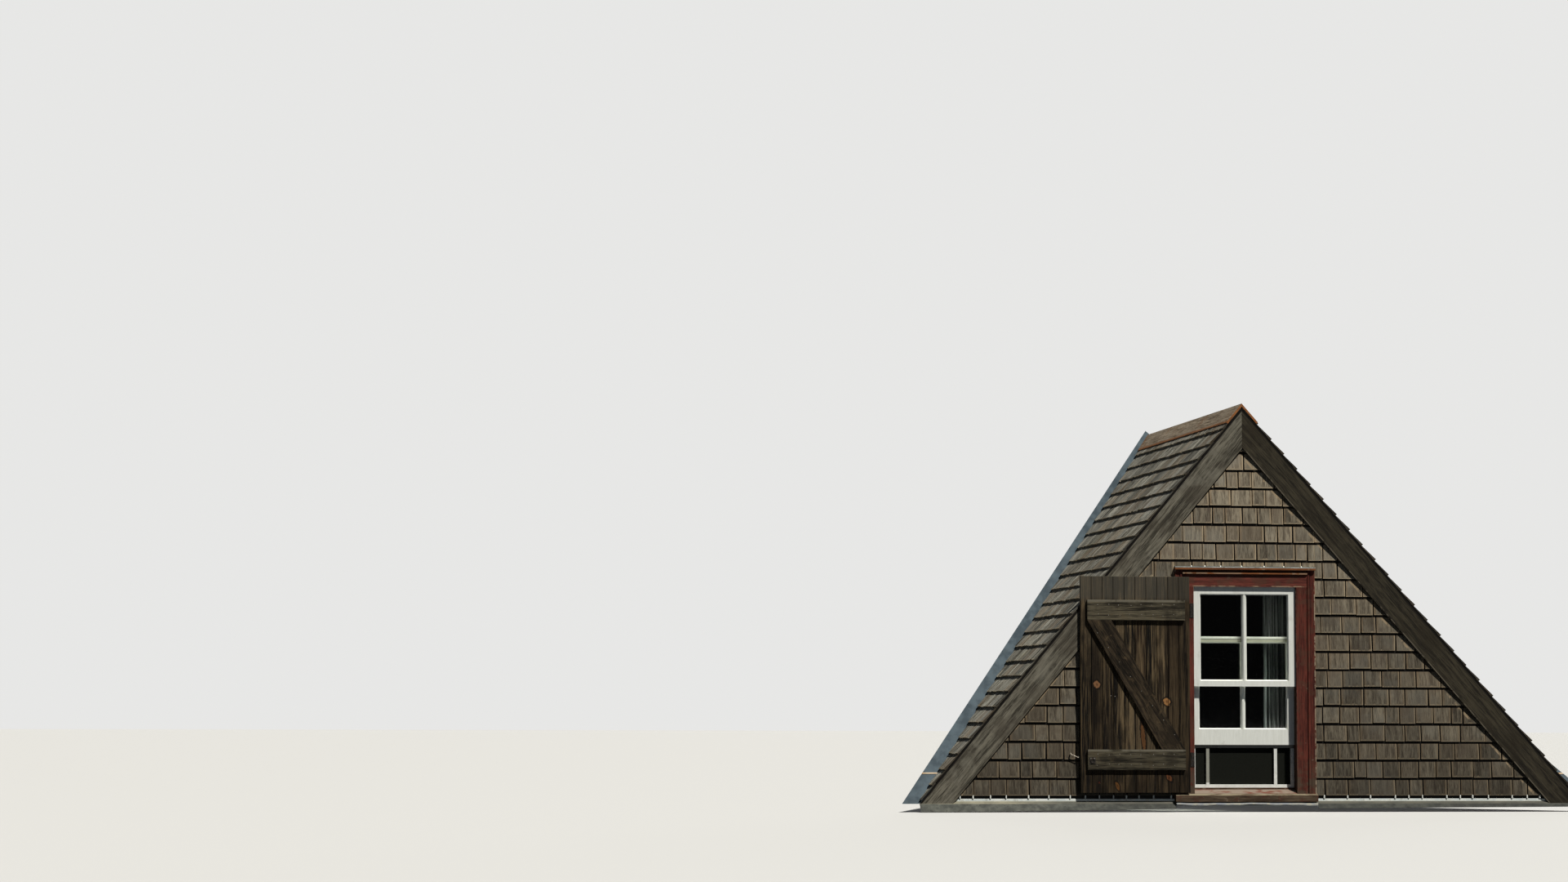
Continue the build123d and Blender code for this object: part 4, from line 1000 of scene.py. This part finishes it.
for name, side in (("left", -1), ("right", 1)):
    bm = newMesh()
    addUpright(bm, flatProfile, side, window["top"])
    addUpright(bm, bandProfile, side, window["head"] + window["bandTop"])
    finishPiece(bm, "mouldedCasing_" + name, [redTrim], stands=["casing_" + name])
bm = newMesh()
addLevel(bm, beadProfile, window["half"] + window["beadReach"])
addLevel(bm, capProfile, window["half"] + window["capReach"])
finishPiece(bm, "mouldedCrown", [crownWood], stands=["head_moulding"])

print("stage: apron hem and sill drip")
hem = {
    "foot": 0.029, "top": 0.0467, "out": 0.008, "soft": 0.002, "left": (-2.215, -0.4985),
    "right": (0.5265, 2.365),
}
bm = newMesh()
for side in slopes:
    addWallBoard(bm, *hem[side], feltOut[0], hem["out"], hem["foot"], hem["top"])
for side in slopes:
    trimRake(bm, side)
softenEdges(bm, hem["soft"])
finishPiece(bm, "apronHem", [hemMetal])
# the sheet's folded front edge shows in waves under the sill
drip = {
    "left": -0.494, "right": 0.522, "parts": 64, "back": 0.022, "out": 0.0525, "height": 0.0175,
    "lip": 0.0125, "lipOut": 0.0005, "thick": 0.001, "bend": 0.0012,
    "waves": ((0.0022, 9.0, 1.0), (0.0016, 23.0, 0), (0.0008, 51.0, 0)),
}
bm = newMesh()
bmesh.ops.create_grid(bm, x_segments=drip["parts"], y_segments=3, size=0.5)
for vert in bm.verts:
    x = drip["left"] + (drip["right"] - drip["left"]) * (vert.co.x + 0.5)
    wave = sum(size * math.sin(turns * x + start) for size, turns, start in drip["waves"])
    high, low = drip["height"] + 0.5 * wave, drip["height"] - drip["lip"] + wave
    out, bend = drip["out"], drip["bend"]
    lip = (out + drip["lipOut"], low)
    section = ((drip["back"], drip["height"]), (out - bend, high), (out, high - bend), lip)
    vert.co = wallPoint(x, *section[round((0.5 - vert.co.y) * 3)])
bmesh.ops.recalc_face_normals(bm, faces=bm.faces[:])
bmesh.ops.solidify(bm, geom=bm.faces[:], thickness=drip["thick"])
finishPiece(bm, "sillDrip", [dripMetal])

print("stage: sash bars")
sashBar = {
    "width": 0.023, "deep": 0.024, "back": 0.002, "soft": 0.006, "putty": 0.007, "puttyBack": 0.006,
    "puttyEdge": 0.0008, "bedded": 0.001,
}


def puttyPlace(face, glassOut, kind, a, b, c, d):
    def place(u, v, w):
        # v is 1 at the face's side, w is 1 at the frame's edge
        out = glassOut + (sashBar["puttyEdge"] if v > 0.5 else -sashBar["bedded"])
        if v > 0.5 and w > 0.5:
            out = face - sashBar["puttyBack"]
        inwards = 0.0 if w > 0.5 else sashBar["putty"]
        if kind in ("low", "high"):
            return wallPoint(a + (b - a) * u, out, c + inwards if kind == "low" else c - inwards)
        return wallPoint(a + inwards if kind == "left" else a - inwards, out, c + (d - c) * u)

    return place


bm = newMesh()
for node, pane in (("sash_upper", "glass_upper"), ("sash_lower", "glass_lower")):
    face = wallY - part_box(node)[0][1]
    low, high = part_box(pane)
    glassOut = wallY - low[1]
    x0, x1 = low[0], high[0]
    h0, h1 = low[2] - wallFoot, high[2] - wallFoot
    half = sashBar["width"] / 2
    middle = (x0 + x1) / 2
    out0, out1 = glassOut - sashBar["deep"], face - sashBar["back"]
    low, high = h0 - sashBar["bedded"], h1 + sashBar["bedded"]
    bar = addWallBoard(bm, middle - half, middle + half, out0, out1, low, high)
    edges = {e for v in bar for e in v.link_edges}
    softenEdges(bm, sashBar["soft"], [e for e in edges if e.calc_length() > (high - low) / 2])
    # putty runs round each light, thick at the frame and thin on the glass
    for left, right in ((x0, middle - half), (middle + half, x1)):
        for strip in (
            ("low", left, right, h0, h0), ("high", left, right, h1, h1), ("left", left, left, h0, h1),
            ("right", right, right, h0, h1),
        ):
            addBlock(bm, puttyPlace(face, glassOut, *strip))
finishPiece(bm, "sashBars", [whitePaint])

print("stage: curtain")
curtain = {
    "folds": 7.5, "depth": 0.0145, "across": 150, "down": 36, "thickness": 0.0007, "sway": 0.004,
    "sideGap": 0.004, "topGap": 0.001,
}
low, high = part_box("curtain")
middle = (low[1] + high[1]) / 2
wide = high[0] - low[0] - 2 * curtain["sideGap"]
drop = high[2] - low[2] - 2 * curtain["topGap"]
bm = bmesh.new()
bmesh.ops.create_grid(bm, x_segments=curtain["across"], y_segments=curtain["down"], size=0.5, calc_uvs=True)
uvLayer = bm.loops.layers.uv.verify()
for face in bm.faces:
    for loop in face.loops:
        loop[uvLayer].uv = (loop.vert.co.x + 0.5, loop.vert.co.y + 0.5)
for vert in bm.verts:
    # the folds are uneven across, and deepen below the rod
    u, v = vert.co.x + 0.5, 0.5 - vert.co.y
    swing = curtain["folds"] * 2 * math.pi * u + 0.7 * math.sin(3.1 * u + 1.3 * v) + 0.5 * math.sin(9.0 * u)
    depth = curtain["depth"] * (0.55 + 0.45 * min(v * 3, 1)) * (0.8 + 0.2 * math.sin(5.0 * u + 2.0 * v))
    sway = curtain["sway"] * math.sin(11.0 * u + 4.0 * v) * v
    x = low[0] + curtain["sideGap"] + wide * u + sway
    vert.co = Vector((x, middle + depth * math.sin(swing), high[2] - curtain["topGap"] - drop * v))
flatWidth = sum(f.calc_area() for f in bm.faces) / drop
curtainPiece = finishPiece(
    bm, "curtainPanel", [curtainCloth], stands=["curtain"], smooth=True
)
thick = curtainPiece.modifiers.new("thickness", "SOLIDIFY")
thick.thickness = curtain["thickness"]

print("stage: shutter")
shutter = {
    "boards": 10, "gap": 0.0028, "left": -1.1745, "right": -0.3935, "foot": 0.088, "top": 1.595,
    "back": 0.031, "front": 0.051, "ragged": 0.002, "raggedTop": 0.0015, "uneven": 0.0012, "soft": 0.0016,
}
within = {"side": 0.006, "back": 0.006, "front": 0.012, "ends": 0.004}
bm = newMesh()
pitchWidth = (shutter["right"] - shutter["left"]) / shutter["boards"]
for index in range(shutter["boards"]):
    x = shutter["left"] + index * pitchWidth
    edge0 = 0 if index == 0 else shutter["gap"] / 2
    edge1 = 0 if index == shutter["boards"] - 1 else shutter["gap"] / 2
    foot = shutter["foot"] + random.uniform(0, shutter["ragged"])
    front = shutter["front"] - random.uniform(0, shutter["uneven"])
    top = shutter["top"] - random.uniform(0, shutter["raggedTop"])
    addWallBoard(bm, x + edge0, x + pitchWidth - edge1, shutter["back"], front, foot, top, random.random())
softenEdges(bm, shutter["soft"])
# a dark board within closes the gaps, as painted shade seen through them
addWallBoard(
    bm, shutter["left"] + within["side"], shutter["right"] - within["side"],
    shutter["back"] + within["back"], shutter["back"] + within["front"],
    shutter["foot"] + within["ends"], shutter["top"] - within["ends"], 0.0, 1,
)
finishPiece(
    bm, "shutterBoards", [shutterWood, felt], body="shutter", stands=["shutter_boards"]
)

nail = {
    "radius": 0.0032, "proud": 0.0008, "deep": 0.003, "battenFace": 0.07, "stray": 0.008, "strayUp": 0.006,
}
battens = {"feet": (1.289, 0.248), "height": 0.141, "left": -1.12, "right": -0.44}
braceLine = {"left": -1.1275, "run": 0.697, "top": 1.289}
# four odd heads: x, how far out from the wall, height and radius
oddNails = (
    (-1.108, 0.074, 0.326, 0.0045), (-1.082, 0.074, 0.327, 0.005), (-0.96, 0.0525, 0.762, 0.0035),
    (-0.93, 0.0525, 0.758, 0.0035),
)
bm = newMesh()


def addNail(x, out, height, radius):
    head = bmesh.ops.create_circle(bm, cap_ends=True, segments=8, radius=radius)["verts"]
    turn = Matrix.Translation(wallPoint(x, out, height)) @ Matrix.Rotation(math.radians(90), 4, "X")
    bmesh.ops.transform(bm, matrix=turn, verts=head)
    grown = bmesh.ops.extrude_face_region(bm, geom=list({f for v in head for f in v.link_faces}))["geom"]
    into = [g for g in grown if isinstance(g, bmesh.types.BMVert)]
    bmesh.ops.translate(bm, vec=(0, nail["proud"] + nail["deep"], 0), verts=into)


def boardMiddle(index):
    return shutter["left"] + (index + 0.5) * pitchWidth


nailOut = nail["battenFace"] + nail["proud"]
for foot in battens["feet"]:
    for index in range(shutter["boards"]):
        x = boardMiddle(index)
        if battens["left"] < x < battens["right"]:
            for share in (0.25, 0.75):
                nailX = x + random.uniform(-nail["stray"], nail["stray"])
                strayUp = random.uniform(-nail["strayUp"], nail["strayUp"])
                addNail(nailX, nailOut, foot + battens["height"] * share + strayUp, nail["radius"])
for index in range(1, 9):
    x = boardMiddle(index)
    share = (x - braceLine["left"]) / braceLine["run"]
    addNail(x, nailOut, braceLine["top"] - brace["drop"] * share, nail["radius"])
for x, out, height, radius in oddNails:
    addNail(x, out, height, radius)
finishPiece(bm, "shutterNails", [nailSteel], body="shutter")

print("stage: floor, light and camera")
scene = bpy.context.scene
floorPaint = Surface("studioFloor", 0.85, specular=0.1)
floorPaint.sockets["Base Color"].default_value = (0.62, 0.62, 0.6, 1)
studio = {"radius": 160, "sides": 96, "below": 0.001}
floorPlace = (0, 0, cadBounds[0][2] - studio["below"])
bpy.ops.mesh.primitive_circle_add(
    vertices=studio["sides"], radius=studio["radius"], fill_type="NGON", location=floorPlace
)
floor = bpy.context.object
floor.name = "studioFloor"
floor.data.materials.append(floorPaint.material)
floor.visible_diffuse = False

scene.world = bpy.data.worlds.new("studioWorld")
scene.world.use_nodes = True
sky = Nodes(scene.world.node_tree)
backdrop = sky.tree.nodes["Background"]
backdrop.inputs["Strength"].default_value = 1.0
ray = sky.node("LightPath").outputs
around = sky.mix(ray["Is Diffuse Ray"], (0.012, 0.013, 0.015), (0.052, 0.06, 0.072))
# painted shade: rays that have passed through a pane meet a near-black backdrop, in place of the dim room
around = sky.mix(ray["Is Transmission Ray"], around, (0.0012, 0.0012, 0.0012))
sky.put(sky.mix(ray["Is Camera Ray"], around, (0.8, 0.8, 0.79)), backdrop.inputs["Color"])


def addSun(name, look, towards):
    lamp = bpy.data.lights.new(name, "SUN")
    lamp.energy = look["strength"]
    lamp.angle = math.radians(look["softness"])
    lamp.color = look["color"]
    sun = bpy.data.objects.new(name, lamp)
    sun.rotation_euler = towards.to_track_quat("Z", "Y").to_euler()
    scene.collection.objects.link(sun)
    return sun


keySun = {"azimuth": 35.0, "elevation": 57.0, "strength": 4.7, "softness": 2.5, "color": (1.0, 0.97, 0.92)}
azimuth, elevation = math.radians(keySun["azimuth"]), math.radians(keySun["elevation"])
level = math.cos(elevation)
towards = Vector((level * math.sin(azimuth), -level * math.cos(azimuth), math.sin(elevation)))
addSun("keyLight", keySun, towards)
fillSun = {"towards": (0.32, 0.93, 0.2), "strength": 0.8, "softness": 30, "color": (1.0, 1.0, 1.0)}
fillLight = addSun("fillLight", fillSun, Vector(fillSun["towards"]))
fillLight.visible_transmission = False
fillLight.visible_glossy = False

view = {
    "place": (-6.5592, -24.0901, 0.5395), "turn": (94.5141, -0.1383, -7.8424), "lens": 80.623, "sensor": 36.0,
}
cameraData = bpy.data.cameras.new("camera")
cameraData.lens = view["lens"]
cameraData.sensor_width = view["sensor"]
cameraData.clip_end = 500.0
camera = bpy.data.objects.new("camera", cameraData)
camera.location = view["place"]
camera.rotation_euler = [math.radians(angle) for angle in view["turn"]]
scene.collection.objects.link(camera)
scene.camera = camera
scene.view_settings.view_transform = "Standard"
scene.view_settings.look = "None"
